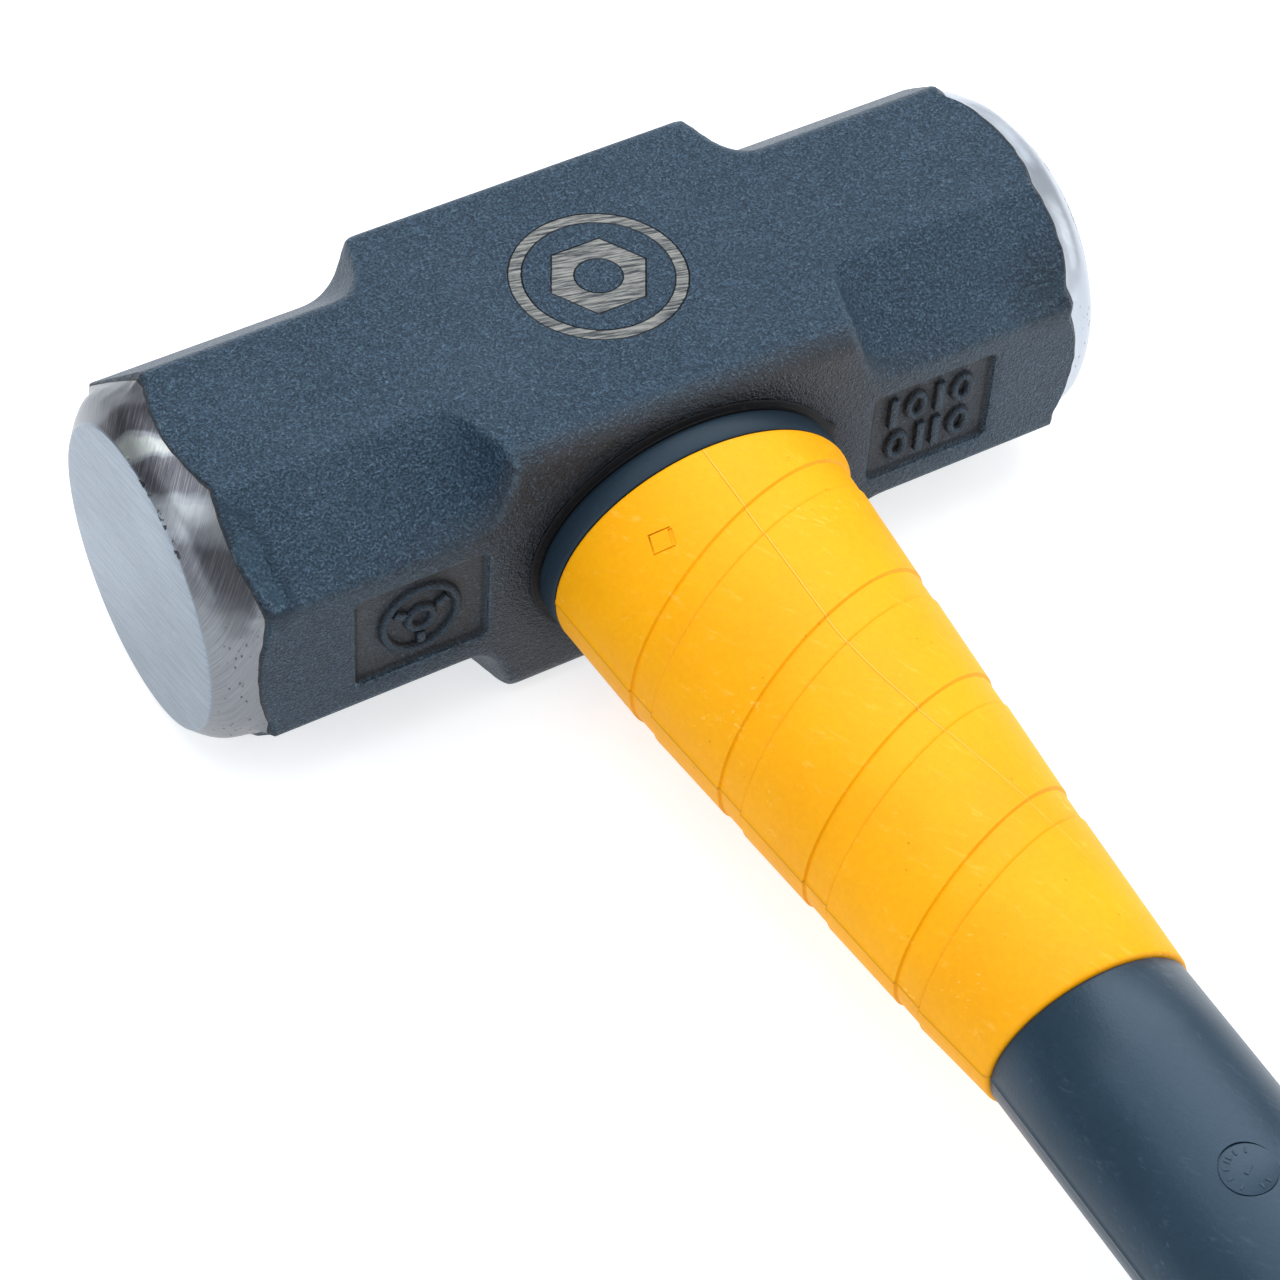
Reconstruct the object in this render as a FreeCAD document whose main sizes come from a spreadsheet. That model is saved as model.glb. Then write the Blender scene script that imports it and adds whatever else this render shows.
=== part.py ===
import FreeCAD, Part
import os

import Sketcher

# A long-handled two-faced sledgehammer lying on one cheek.
# Millimetres. X runs along the head from face to face, the handle runs towards -Y and the cheeks
# face up and down along Z. The origin is under the middle of the head, on the lower cheek.
# Every body is drawn about the point where the handle's axis crosses the head's, and its Placement
# lifts it by half the head's width.

SIZES = {
    # forged head
    "head_length": 182.0,
    "head_width": 60.6,
    "head_depth": 62.8,
    "corner_depth": 18.4,
    "corner_width": 15.0,
    "crown_facet_depth": 14.4,
    "crown_facet_width": 13.8,
    "block_half_length": 33.0,
    "block_corner_radius": 5.0,
    "crown_corner_radius": 1.5,
    "wall_run": 5.0,
    "wall_fillet": 7.0,
    "face_radius": 27.5,
    "bevel_shoulder": 81.2,
    "bevel_radius": 36.5,
    "bevel_bow": 1.6,
    "eye_half_long": 18.5,
    "eye_half_short": 14.0,
    "eye_flare": 2.5,
    "badge_centre": 52.0,
    "badge_length": 26.0,
    "badge_width": 21.0,
    "badge_depth": 0.9,
    # gasket under the head
    "seal_half_long": 31.2,
    "seal_half_short": 25.6,
    "seal_height": 1.0,
    # moulded jacket on the fibreglass core
    "overall_length": 900.0,
    "core_half_long": 13.0,
    "core_half_short": 10.0,
    "core_crown_gap": 4.0,
    "core_butt_gap": 16.0,
    "shoulder_half_long": 30.0,
    "shoulder_half_short": 24.4,
    "shoulder_height": 5.4,
    "shaft_half_long": 18.8,
    "shaft_half_short": 15.8,
    "neck_half_long": 16.0,
    "neck_half_short": 13.0,
    # overstrike sleeve
    "sleeve_length": 119.0,
    "sleeve_top_half_long": 29.9,
    "sleeve_top_half_short": 24.3,
    "sleeve_end_half_long": 19.4,
    "sleeve_end_half_short": 16.4,
    "sleeve_wall": 3.0,
    # grip and butt
    "grip_length": 270.0,
    "grip_start_half_long": 20.3,
    "grip_start_half_short": 17.3,
    "grip_waist_half_long": 19.0,
    "grip_waist_half_short": 16.2,
    "pommel_half_long": 24.0,
    "pommel_half_short": 20.0,
    "pommel_length": 34.0,
    "butt_flange_half_long": 18.5,
    "butt_flange_half_short": 15.0,
    "butt_flange_height": 3.0,
    "butt_spigot_length": 10.0,
}


def make_sheet(doc):
    """Write every driving size to the spreadsheet as an aliased cell."""
    sheet = doc.addObject("Spreadsheet::Sheet", "Sizes")
    for row, (alias, value) in enumerate(SIZES.items(), start=1):
        sheet.set(f"A{row}", alias)
        sheet.set(f"B{row}", str(value))
        sheet.setAlias(f"B{row}", alias)
    doc.recompute()
    return sheet


def new_body(doc, name):
    """Add a body named after the piece, lifted so that the lower cheek lies on Z = 0."""
    body = doc.addObject("PartDesign::Body", name)
    body.Label = name
    body.setExpression("Placement.Base.z", "Sizes.head_width / 2")
    return body


def origin_plane(body, role):
    """Return the body's own origin plane that has this role."""
    return next(item for item in body.Origin.OriginFeatures if item.Role == role)


def new_sketch(body, name, role, offset=None):
    """Add a sketch on an origin plane, moved along the plane's normal by an expression."""
    sketch = body.newObject("Sketcher::SketchObject", name)
    sketch.AttachmentSupport = [(origin_plane(body, role), "")]
    sketch.MapMode = "FlatFace"
    if offset is not None:
        sketch.setExpression("AttachmentOffset.Base.z", offset)
    return sketch


def oval_sketch(body, name, offset, half_long, half_short):
    """Draw an ellipse across the handle's axis; offset is the distance towards the butt."""
    sketch = new_sketch(body, name, "XZ_Plane", offset)
    centre = FreeCAD.Vector(0, 0, 0)
    oval = sketch.addGeometry(Part.Ellipse(FreeCAD.Vector(20, 0, 0), FreeCAD.Vector(0, 15, 0), centre))
    sketch.exposeInternalGeometry(oval)
    long_axis = oval + 1
    short_axis = oval + 2
    sketch.addConstraint(Sketcher.Constraint("Coincident", oval, 3, -1, 1))
    sketch.addConstraint(Sketcher.Constraint("Horizontal", long_axis))
    long_index = sketch.addConstraint(Sketcher.Constraint("Distance", long_axis, 40.0))
    short_index = sketch.addConstraint(Sketcher.Constraint("Distance", short_axis, 30.0))
    sketch.setExpression(f"Constraints[{long_index}]", f"2 * ({half_long})")
    sketch.setExpression(f"Constraints[{short_index}]", f"2 * ({half_short})")
    return sketch


def polygon_sketch(body, name, role, corners, offset=None):
    """Draw a closed outline whose corners are pairs of expressions of the sheet's sizes."""
    sketch = new_sketch(body, name, role, offset)
    guess = [FreeCAD.Vector(evaluate(body, x), evaluate(body, y), 0) for x, y in corners]
    count = len(corners)
    for index in range(count):
        sketch.addGeometry(Part.LineSegment(guess[index], guess[(index + 1) % count]))
    for index in range(count):
        sketch.addConstraint(Sketcher.Constraint("Coincident", index, 2, (index + 1) % count, 1))
    for index, (x, y) in enumerate(corners):
        pin_coordinate(sketch, index, "DistanceX", guess[index].x, x)
        pin_coordinate(sketch, index, "DistanceY", guess[index].y, y)
    return sketch


def pin_coordinate(sketch, line, direction, value, expression):
    """Hold the start of a line at a signed distance from the sketch's origin."""
    number = sketch.addConstraint(Sketcher.Constraint(direction, -1, 1, line, 1, value))
    sketch.setExpression(f"Constraints[{number}]", expression)


def evaluate(body, expression):
    """Work out an expression of the sheet's sizes as a plain number."""
    result = body.evalExpression(expression)
    return float(getattr(result, "Value", result))


def loft_between(body, name, kind, sketches):
    """Loft straight through the sketches, adding or removing material."""
    loft = body.newObject(f"PartDesign::{kind}Loft", name)
    loft.Profile = sketches[0]
    loft.Sections = sketches[1:]
    loft.Ruled = True
    return loft


def pad_sketch(body, name, sketch, length, reverse=False, middle=False):
    """Pad a sketch by an expression of the sheet's sizes."""
    pad = body.newObject("PartDesign::Pad", name)
    pad.Profile = sketch
    pad.Reversed = reverse
    pad.SideType = "Symmetric" if middle else "One side"
    pad.setExpression("Length", length)
    return pad


def cut_sketch(doc, body, name, sketch, length, reverse=False, middle=False, direction=None):
    """Pocket a sketch by an expression and make sure that it removed material."""
    doc.recompute()
    before = body.Shape.Volume
    pocket = body.newObject("PartDesign::Pocket", name)
    pocket.Profile = sketch
    pocket.Reversed = reverse
    pocket.SideType = "Symmetric" if middle else "One side"
    if direction is not None:
        pocket.UseCustomVector = True
        pocket.Direction = direction
        pocket.AlongSketchNormal = False
    pocket.setExpression("Length", length)
    doc.recompute()
    if body.Shape.Volume >= before:
        raise ValueError(f"{name} removed nothing")
    return pocket


def forged_head(doc):
    """Octagonal ends and a square middle block with the oval eye, ground at both faces."""
    body = new_body(doc, "forged_head")
    blank = polygon_sketch(body, "blank_outline", "YZ_Plane", [
        ("-Sizes.head_depth / 2", "-Sizes.head_width / 2"),
        ("Sizes.head_depth / 2", "-Sizes.head_width / 2"),
        ("Sizes.head_depth / 2", "Sizes.head_width / 2"),
        ("-Sizes.head_depth / 2", "Sizes.head_width / 2"),
    ])
    block = pad_sketch(body, "blank", blank, "Sizes.head_length", middle=True)
    doc.recompute()
    eye_side = round_long_edges(body, block, "eye_side_corners", -1, "Sizes.block_corner_radius")
    doc.recompute()
    round_long_edges(body, eye_side, "crown_corners", 1, "Sizes.crown_corner_radius")
    forge_corners(doc, body)
    grind_faces(doc, body)
    cut_eye(doc, body)
    cut_badges(doc, body)
    return body


def round_long_edges(body, block, name, side, radius):
    """Round the block's long edges on one side of the head: 1 is the crown, -1 the eye side."""
    edges = [
        f"Edge{number}"
        for number, edge in enumerate(block.Shape.Edges, start=1)
        if edge.Length > 100 and edge.CenterOfMass.y * side > evaluate(body, "0.45 * Sizes.head_depth")
    ]
    if len(edges) != 2:
        raise ValueError(f"found {len(edges)} edges for {name}")
    rounding = body.newObject("PartDesign::Fillet", name)
    rounding.Base = (block, edges)
    rounding.setExpression("Radius", radius)
    return rounding


def forge_corners(doc, body):
    """Cut the four long corners back on both ends, with a sloping wall at the middle block."""
    cuts = [
        corner_cut(doc, body, side, facet)
        for facet in ("eye", "crown")
        for side in ("right", "left")
    ]
    everywhere = body.newObject("PartDesign::MultiTransform", "all_corners")
    everywhere.Originals = cuts
    mirror = body.newObject("PartDesign::Mirrored", "both_cheeks")
    mirror.MirrorPlane = (origin_plane(body, "XY_Plane"), [""])
    everywhere.Transformations = [mirror]
    body.Tip = everywhere
    doc.recompute()
    soften_walls(body, everywhere)
    doc.recompute()


def corner_cut(doc, body, side, facet):
    """Cut one long corner at one end; the crown's facets are narrower than the eye side's."""
    prefix, sign = {"eye": ("corner", "-"), "crown": ("crown_facet", "")}[facet]
    end = {"right": "", "left": "-"}[side]
    depth, width = f"Sizes.{prefix}_depth", f"Sizes.{prefix}_width"
    plane_height = f"{sign}(Sizes.head_depth / 2 - {depth} + {depth} * Sizes.head_width / 2 / {width})"
    outer_height = f"{sign}(2 * Sizes.head_depth)"
    wall_top = "(Sizes.block_half_length - 3 * Sizes.wall_run)"
    wall_foot = "(Sizes.block_half_length + Sizes.wall_run)"
    past_end = "(Sizes.head_length / 2 + 10)"
    outline = polygon_sketch(body, f"{facet}_facet_{side}", "XY_Plane", [
        (f"{end}{wall_foot}", plane_height),
        (f"{end}{past_end}", plane_height),
        (f"{end}{past_end}", outer_height),
        (f"{end}{wall_top}", outer_height),
    ])
    rise = evaluate(body, depth) * (-1 if sign else 1)
    along_facet = FreeCAD.Vector(0, rise, -evaluate(body, width))
    return cut_sketch(doc, body, f"{facet}_facet_cut_{side}", outline, "4 * Sizes.head_width",
                      middle=True, direction=along_facet)


def soften_walls(body, forging):
    """Round the inner corner where each sloping wall meets its facet."""
    foot = evaluate(body, "Sizes.block_half_length + Sizes.wall_run")
    inner_edges = [
        f"Edge{number}"
        for number, edge in enumerate(forging.Shape.Edges, start=1)
        if is_wall_foot(edge, foot)
    ]
    if len(inner_edges) != 8:
        raise ValueError(f"found {len(inner_edges)} wall feet")
    rounding = body.newObject("PartDesign::Fillet", "wall_feet")
    rounding.Base = (forging, inner_edges)
    rounding.setExpression("Radius", "Sizes.wall_fillet")


def is_wall_foot(edge, foot):
    """Tell whether an edge runs along a facet's foot, at right angles to the head's length."""
    ends = [vertex.Point for vertex in edge.Vertexes]
    at_foot = all(abs(abs(point.x) - foot) < 0.1 for point in ends)
    return at_foot and edge.Length > 1.0


def grind_faces(doc, body):
    """Turn the rounded bevel between the striking faces and the octagon."""
    half = "(Sizes.head_length / 2)"
    for side, sign in (("right", ""), ("left", "-")):
        outline = polygon_sketch(body, f"bevel_{side}", "XY_Plane", [
            (f"{sign}Sizes.bevel_shoulder", "Sizes.bevel_radius"),
            (f"{sign}Sizes.bevel_shoulder", "2 * Sizes.bevel_radius"),
            (f"{sign}({half} + 5)", "2 * Sizes.bevel_radius"),
            (f"{sign}({half} + 5)", "Sizes.face_radius"),
            (f"{sign}{half}", "Sizes.face_radius"),
            (f"{sign}(({half} + Sizes.bevel_shoulder) / 2 + Sizes.bevel_bow)",
             "(Sizes.face_radius + Sizes.bevel_radius) / 2 + Sizes.bevel_bow"),
        ])
        doc.recompute()
        before = body.Shape.Volume
        groove = body.newObject("PartDesign::Groove", f"ground_bevel_{side}")
        groove.Profile = outline
        groove.ReferenceAxis = (outline, ["H_Axis"])
        groove.Angle = 360
        doc.recompute()
        if body.Shape.Volume >= before:
            raise ValueError(f"{groove.Name} removed nothing")


def cut_eye(doc, body):
    """Cut the oval eye through the head, wider at the crown so that the potting locks."""
    sketches = eye_sketches(body)
    loft_between(body, "eye", "Subtractive", sketches)
    doc.recompute()


def eye_sketches(body):
    """Draw the eye's oval at the handle side, at the middle and at the crown."""
    return [
        oval_sketch(body, "eye_handle_side", "Sizes.head_depth / 2",
                    "Sizes.eye_half_long", "Sizes.eye_half_short"),
        oval_sketch(body, "eye_waist", "0 * Sizes.head_depth",
                    "Sizes.eye_half_long", "Sizes.eye_half_short"),
        oval_sketch(body, "eye_crown", "-Sizes.head_depth / 2",
                    "Sizes.eye_half_long + Sizes.eye_flare", "Sizes.eye_half_short + Sizes.eye_flare"),
    ]


def cut_badges(doc, body):
    """Sink a shallow plain panel into the handle side of each end."""
    for side, sign in (("right", ""), ("left", "-")):
        near = f"{sign}(Sizes.badge_centre - Sizes.badge_length / 2)"
        far = f"{sign}(Sizes.badge_centre + Sizes.badge_length / 2)"
        panel = polygon_sketch(body, f"badge_{side}", "XZ_Plane", [
            (near, "-Sizes.badge_width / 2"),
            (far, "-Sizes.badge_width / 2"),
            (far, "Sizes.badge_width / 2"),
            (near, "Sizes.badge_width / 2"),
        ], "Sizes.head_depth / 2")
        cut_sketch(doc, body, f"badge_panel_{side}", panel, "Sizes.badge_depth")


def eye_potting(doc):
    """Cast resin that fills the eye around the core."""
    body = new_body(doc, "eye_potting")
    loft_between(body, "cast", "Additive", eye_sketches(body))
    bore = oval_sketch(body, "core_bore", "Sizes.head_depth / 2",
                       "Sizes.core_half_long", "Sizes.core_half_short")
    cut_sketch(doc, body, "core_bore_cut", bore, "Sizes.head_depth - Sizes.core_crown_gap")
    return body


def eye_seal_ring(doc):
    """Flat oval gasket between the head and the jacket's shoulder."""
    body = new_body(doc, "eye_seal_ring")
    start = "Sizes.head_depth / 2"
    outer = oval_sketch(body, "seal_outline", start, "Sizes.seal_half_long", "Sizes.seal_half_short")
    pad_sketch(body, "seal", outer, "Sizes.seal_height")
    bore = oval_sketch(body, "seal_bore", f"{start} + Sizes.seal_height",
                       "Sizes.core_half_long", "Sizes.core_half_short")
    cut_sketch(doc, body, "seal_bore_cut", bore, "Sizes.seal_height")
    return body


SHOULDER = "(Sizes.head_depth / 2 + Sizes.seal_height)"
SLEEVE_START = f"({SHOULDER} + Sizes.shoulder_height)"
SLEEVE_END = f"({SLEEVE_START} + Sizes.sleeve_length)"
BUTT = "(Sizes.overall_length - Sizes.head_depth / 2)"
BUTT_FACE = f"({BUTT} - Sizes.butt_flange_height)"
GRIP_START = f"({BUTT_FACE} - Sizes.grip_length)"
CORE_END = f"({BUTT} - Sizes.core_butt_gap)"


def fibreglass_core(doc):
    """Solid oval rod from just under the crown to just short of the butt."""
    body = new_body(doc, "fibreglass_core")
    start = oval_sketch(body, "core_section", "-Sizes.head_depth / 2 + Sizes.core_crown_gap",
                        "Sizes.core_half_long", "Sizes.core_half_short")
    pad_sketch(body, "core", start, f"{CORE_END} + Sizes.head_depth / 2 - Sizes.core_crown_gap")
    return body


def seat_sketches(body):
    """Draw the tapered seat that the jacket and the sleeve share."""
    return [
        oval_sketch(body, "seat_top", SLEEVE_START,
                    "Sizes.sleeve_top_half_long - Sizes.sleeve_wall",
                    "Sizes.sleeve_top_half_short - Sizes.sleeve_wall"),
        oval_sketch(body, "seat_end", SLEEVE_END,
                    "Sizes.sleeve_end_half_long - Sizes.sleeve_wall",
                    "Sizes.sleeve_end_half_short - Sizes.sleeve_wall"),
    ]


def handle_jacket(doc):
    """Moulded tube on the core: shoulder, tapered sleeve seat, shaft and grip neck."""
    body = new_body(doc, "handle_jacket")
    shoulder = oval_sketch(body, "shoulder_outline", SHOULDER,
                           "Sizes.shoulder_half_long", "Sizes.shoulder_half_short")
    pad_sketch(body, "shoulder", shoulder, "Sizes.shoulder_height")
    loft_between(body, "sleeve_seat", "Additive", seat_sketches(body))
    shaft = oval_sketch(body, "shaft_outline", SLEEVE_END,
                        "Sizes.shaft_half_long", "Sizes.shaft_half_short")
    pad_sketch(body, "shaft", shaft, f"{GRIP_START} - {SLEEVE_END}")
    neck = oval_sketch(body, "neck_outline", GRIP_START,
                       "Sizes.neck_half_long", "Sizes.neck_half_short")
    pad_sketch(body, "grip_neck", neck, f"{BUTT_FACE} - {GRIP_START}")
    bore = oval_sketch(body, "core_bore", BUTT_FACE,
                       "Sizes.core_half_long", "Sizes.core_half_short")
    cut_sketch(doc, body, "core_bore_cut", bore, f"{BUTT_FACE} - {SHOULDER}")
    return body


def overstrike_sleeve(doc):
    """Tapered rubber guard behind the head."""
    body = new_body(doc, "overstrike_sleeve")
    outer = [
        oval_sketch(body, "sleeve_top", SLEEVE_START,
                    "Sizes.sleeve_top_half_long", "Sizes.sleeve_top_half_short"),
        oval_sketch(body, "sleeve_end", SLEEVE_END,
                    "Sizes.sleeve_end_half_long", "Sizes.sleeve_end_half_short"),
    ]
    loft_between(body, "sleeve", "Additive", outer)
    loft_between(body, "seat_bore", "Subtractive", seat_sketches(body))
    return body


def hand_grip(doc):
    """Rubber grip over the jacket's neck, flared to a pommel at the butt."""
    body = new_body(doc, "hand_grip")
    pommel_start = f"({BUTT_FACE} - Sizes.pommel_length)"
    outer = [
        oval_sketch(body, "grip_top", GRIP_START,
                    "Sizes.grip_start_half_long", "Sizes.grip_start_half_short"),
        oval_sketch(body, "grip_waist", pommel_start,
                    "Sizes.grip_waist_half_long", "Sizes.grip_waist_half_short"),
        oval_sketch(body, "grip_pommel", f"({BUTT_FACE} - Sizes.pommel_length / 3)",
                    "Sizes.pommel_half_long", "Sizes.pommel_half_short"),
        oval_sketch(body, "grip_end", BUTT_FACE,
                    "Sizes.pommel_half_long", "Sizes.pommel_half_short"),
    ]
    loft_between(body, "grip", "Additive", outer)
    bore = oval_sketch(body, "neck_bore", BUTT_FACE,
                       "Sizes.neck_half_long", "Sizes.neck_half_short")
    cut_sketch(doc, body, "neck_bore_cut", bore, "Sizes.grip_length")
    return body


def butt_plug(doc):
    """Plug that closes the jacket's open end: a flange and a spigot."""
    body = new_body(doc, "butt_plug")
    flange = oval_sketch(body, "flange_outline", BUTT_FACE,
                         "Sizes.butt_flange_half_long", "Sizes.butt_flange_half_short")
    pad_sketch(body, "flange", flange, "Sizes.butt_flange_height")
    spigot = oval_sketch(body, "spigot_outline", BUTT_FACE,
                         "Sizes.core_half_long", "Sizes.core_half_short")
    pad_sketch(body, "spigot", spigot, "Sizes.butt_spigot_length", reverse=True)
    return body


def check_document(doc, pieces):
    """Stop if any object failed or any piece isn't a valid solid."""
    for item in doc.Objects:
        if "Invalid" in item.State or "Error" in item.State:
            raise ValueError(f"{item.Label} failed: {item.State}")
    for piece in pieces:
        if piece.Shape.isNull() or not piece.Shape.isValid():
            raise ValueError(f"{piece.Label} has no valid shape")


def main():
    """Build every piece and write each to its own file."""
    doc = FreeCAD.newDocument("sledgehammer")
    make_sheet(doc)
    makers = (
        forged_head,
        eye_potting,
        eye_seal_ring,
        fibreglass_core,
        handle_jacket,
        overstrike_sleeve,
        hand_grip,
        butt_plug,
    )
    pieces = [make(doc) for make in makers]
    doc.recompute()
    check_document(doc, pieces)
    os.makedirs("parts", exist_ok=True)
    for piece in pieces:
        box = piece.Shape.BoundBox
        print(f"{piece.Label}: {piece.Shape.Volume / 1000:.1f} cm3, {len(piece.Shape.Solids)} solid,"
              f" X {box.XMin:.1f} {box.XMax:.1f}, Y {box.YMin:.1f} {box.YMax:.1f},"
              f" Z {box.ZMin:.1f} {box.ZMax:.1f}")
        piece.Shape.exportStep(f"parts/{piece.Label}.step")


main()
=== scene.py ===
import logging
import math
from collections.abc import Callable, Iterable, Sequence
from dataclasses import dataclass, field
from enum import Enum

import bmesh
import bpy
from mathutils import Matrix, Vector, noise


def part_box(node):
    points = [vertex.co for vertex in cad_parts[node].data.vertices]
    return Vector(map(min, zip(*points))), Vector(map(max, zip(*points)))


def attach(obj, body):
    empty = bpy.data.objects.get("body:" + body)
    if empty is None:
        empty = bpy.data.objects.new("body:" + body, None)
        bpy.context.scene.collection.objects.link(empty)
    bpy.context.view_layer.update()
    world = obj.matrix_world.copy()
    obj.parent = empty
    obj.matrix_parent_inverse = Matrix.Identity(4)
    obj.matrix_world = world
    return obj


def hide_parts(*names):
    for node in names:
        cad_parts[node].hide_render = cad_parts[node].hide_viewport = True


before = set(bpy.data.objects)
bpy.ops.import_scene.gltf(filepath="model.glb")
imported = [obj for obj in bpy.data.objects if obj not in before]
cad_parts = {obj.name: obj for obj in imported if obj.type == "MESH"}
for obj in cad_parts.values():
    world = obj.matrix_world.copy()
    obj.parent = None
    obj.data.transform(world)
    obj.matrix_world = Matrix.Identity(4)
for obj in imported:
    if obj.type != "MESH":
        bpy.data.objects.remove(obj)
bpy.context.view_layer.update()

# Sizes are in millimetres until a mesh is finished; METRE brings it to the frame's metres.
METRE = 0.001
LOG = logging.getLogger("sledgehammer")

# Half sizes of the oval rod, and of every bore that it fills.
ROD_LONG = 13.0
ROD_SHORT = 10.0
# Distance of each sunk panel's middle from the handle's axis.
PANEL_CENTRE = 52.0

Stops = Sequence[tuple[float, float]]
Colour = tuple[float, float, float]

# Shade, body and dust colours of the yellow mouldings.
YELLOW: tuple[Colour, Colour, Colour] = ((0.74, 0.305, 0.0), (0.84, 0.375, 0.0), (0.92, 0.52, 0.10))


def node_box(node: str) -> tuple[Vector, Vector]:
    """Return a CAD node's lowest and highest corners in millimetres."""
    low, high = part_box(node)
    return low / METRE, high / METRE


# ---------------------------------------------------------------- shader maths


class Signal:
    """A number that varies over a surface. Python operators on it add Math nodes."""

    def __init__(self, graph: "Graph", socket: bpy.types.NodeSocket) -> None:
        """Wrap an output socket of the graph."""
        self.graph = graph
        self.socket = socket

    def apply(self, operation: str, *operands: "Signal | float") -> "Signal":
        """Add one Math node.

        Args:
            operation: The Math node's operation.
            operands: Its inputs, in order.

        Returns:
            The result.
        """
        made = self.graph.node("ShaderNodeMath", {"operation": operation}, dict(enumerate(operands)))
        return Signal(self.graph, made.outputs[0])

    def __add__(self, other: "Signal | float") -> "Signal":
        """Add."""
        return self.apply("ADD", self, other)

    def __radd__(self, other: float) -> "Signal":
        """Add a number on the left."""
        return self.apply("ADD", other, self)

    def __sub__(self, other: "Signal | float") -> "Signal":
        """Subtract."""
        return self.apply("SUBTRACT", self, other)

    def __rsub__(self, other: float) -> "Signal":
        """Subtract from a number."""
        return self.apply("SUBTRACT", other, self)

    def __mul__(self, other: "Signal | float") -> "Signal":
        """Multiply."""
        return self.apply("MULTIPLY", self, other)

    def __rmul__(self, other: float) -> "Signal":
        """Multiply by a number on the left."""
        return self.apply("MULTIPLY", other, self)

    def __truediv__(self, other: "Signal | float") -> "Signal":
        """Divide."""
        return self.apply("DIVIDE", self, other)

    def __pow__(self, other: float) -> "Signal":
        """Raise to a power."""
        return self.apply("POWER", self, other)

    def __abs__(self) -> "Signal":
        """Take the size without the sign."""
        return self.apply("ABSOLUTE", self)

    def at_least(self, other: "Signal | float") -> "Signal":
        """Return the larger of the two."""
        return self.apply("MAXIMUM", self, other)

    def angle_from(self, other: "Signal") -> "Signal":
        """Return the angle whose tangent is this signal over the other, in degrees."""
        return self.apply("ARCTAN2", self, other) * math.degrees(1)

    def above(self, limit: float) -> "Signal":
        """Return 1 above the limit and 0 below it."""
        return self.apply("GREATER_THAN", self, limit)

    def rise(self, start: float, end: float, low: float = 0.0, high: float = 1.0) -> "Signal":
        """Go smoothly from low to high as the signal goes from start to end.

        Args:
            start: Where it leaves low.
            end: Where it reaches high.
            low: The value up to start.
            high: The value from end on.

        Returns:
            The smooth step.
        """
        made = self.graph.node(
            "ShaderNodeMapRange",
            {"interpolation_type": "SMOOTHSTEP"},
            {"Value": self, "From Min": start, "From Max": end, "To Min": low, "To Max": high},
        )
        return Signal(self.graph, made.outputs["Result"])


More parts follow.
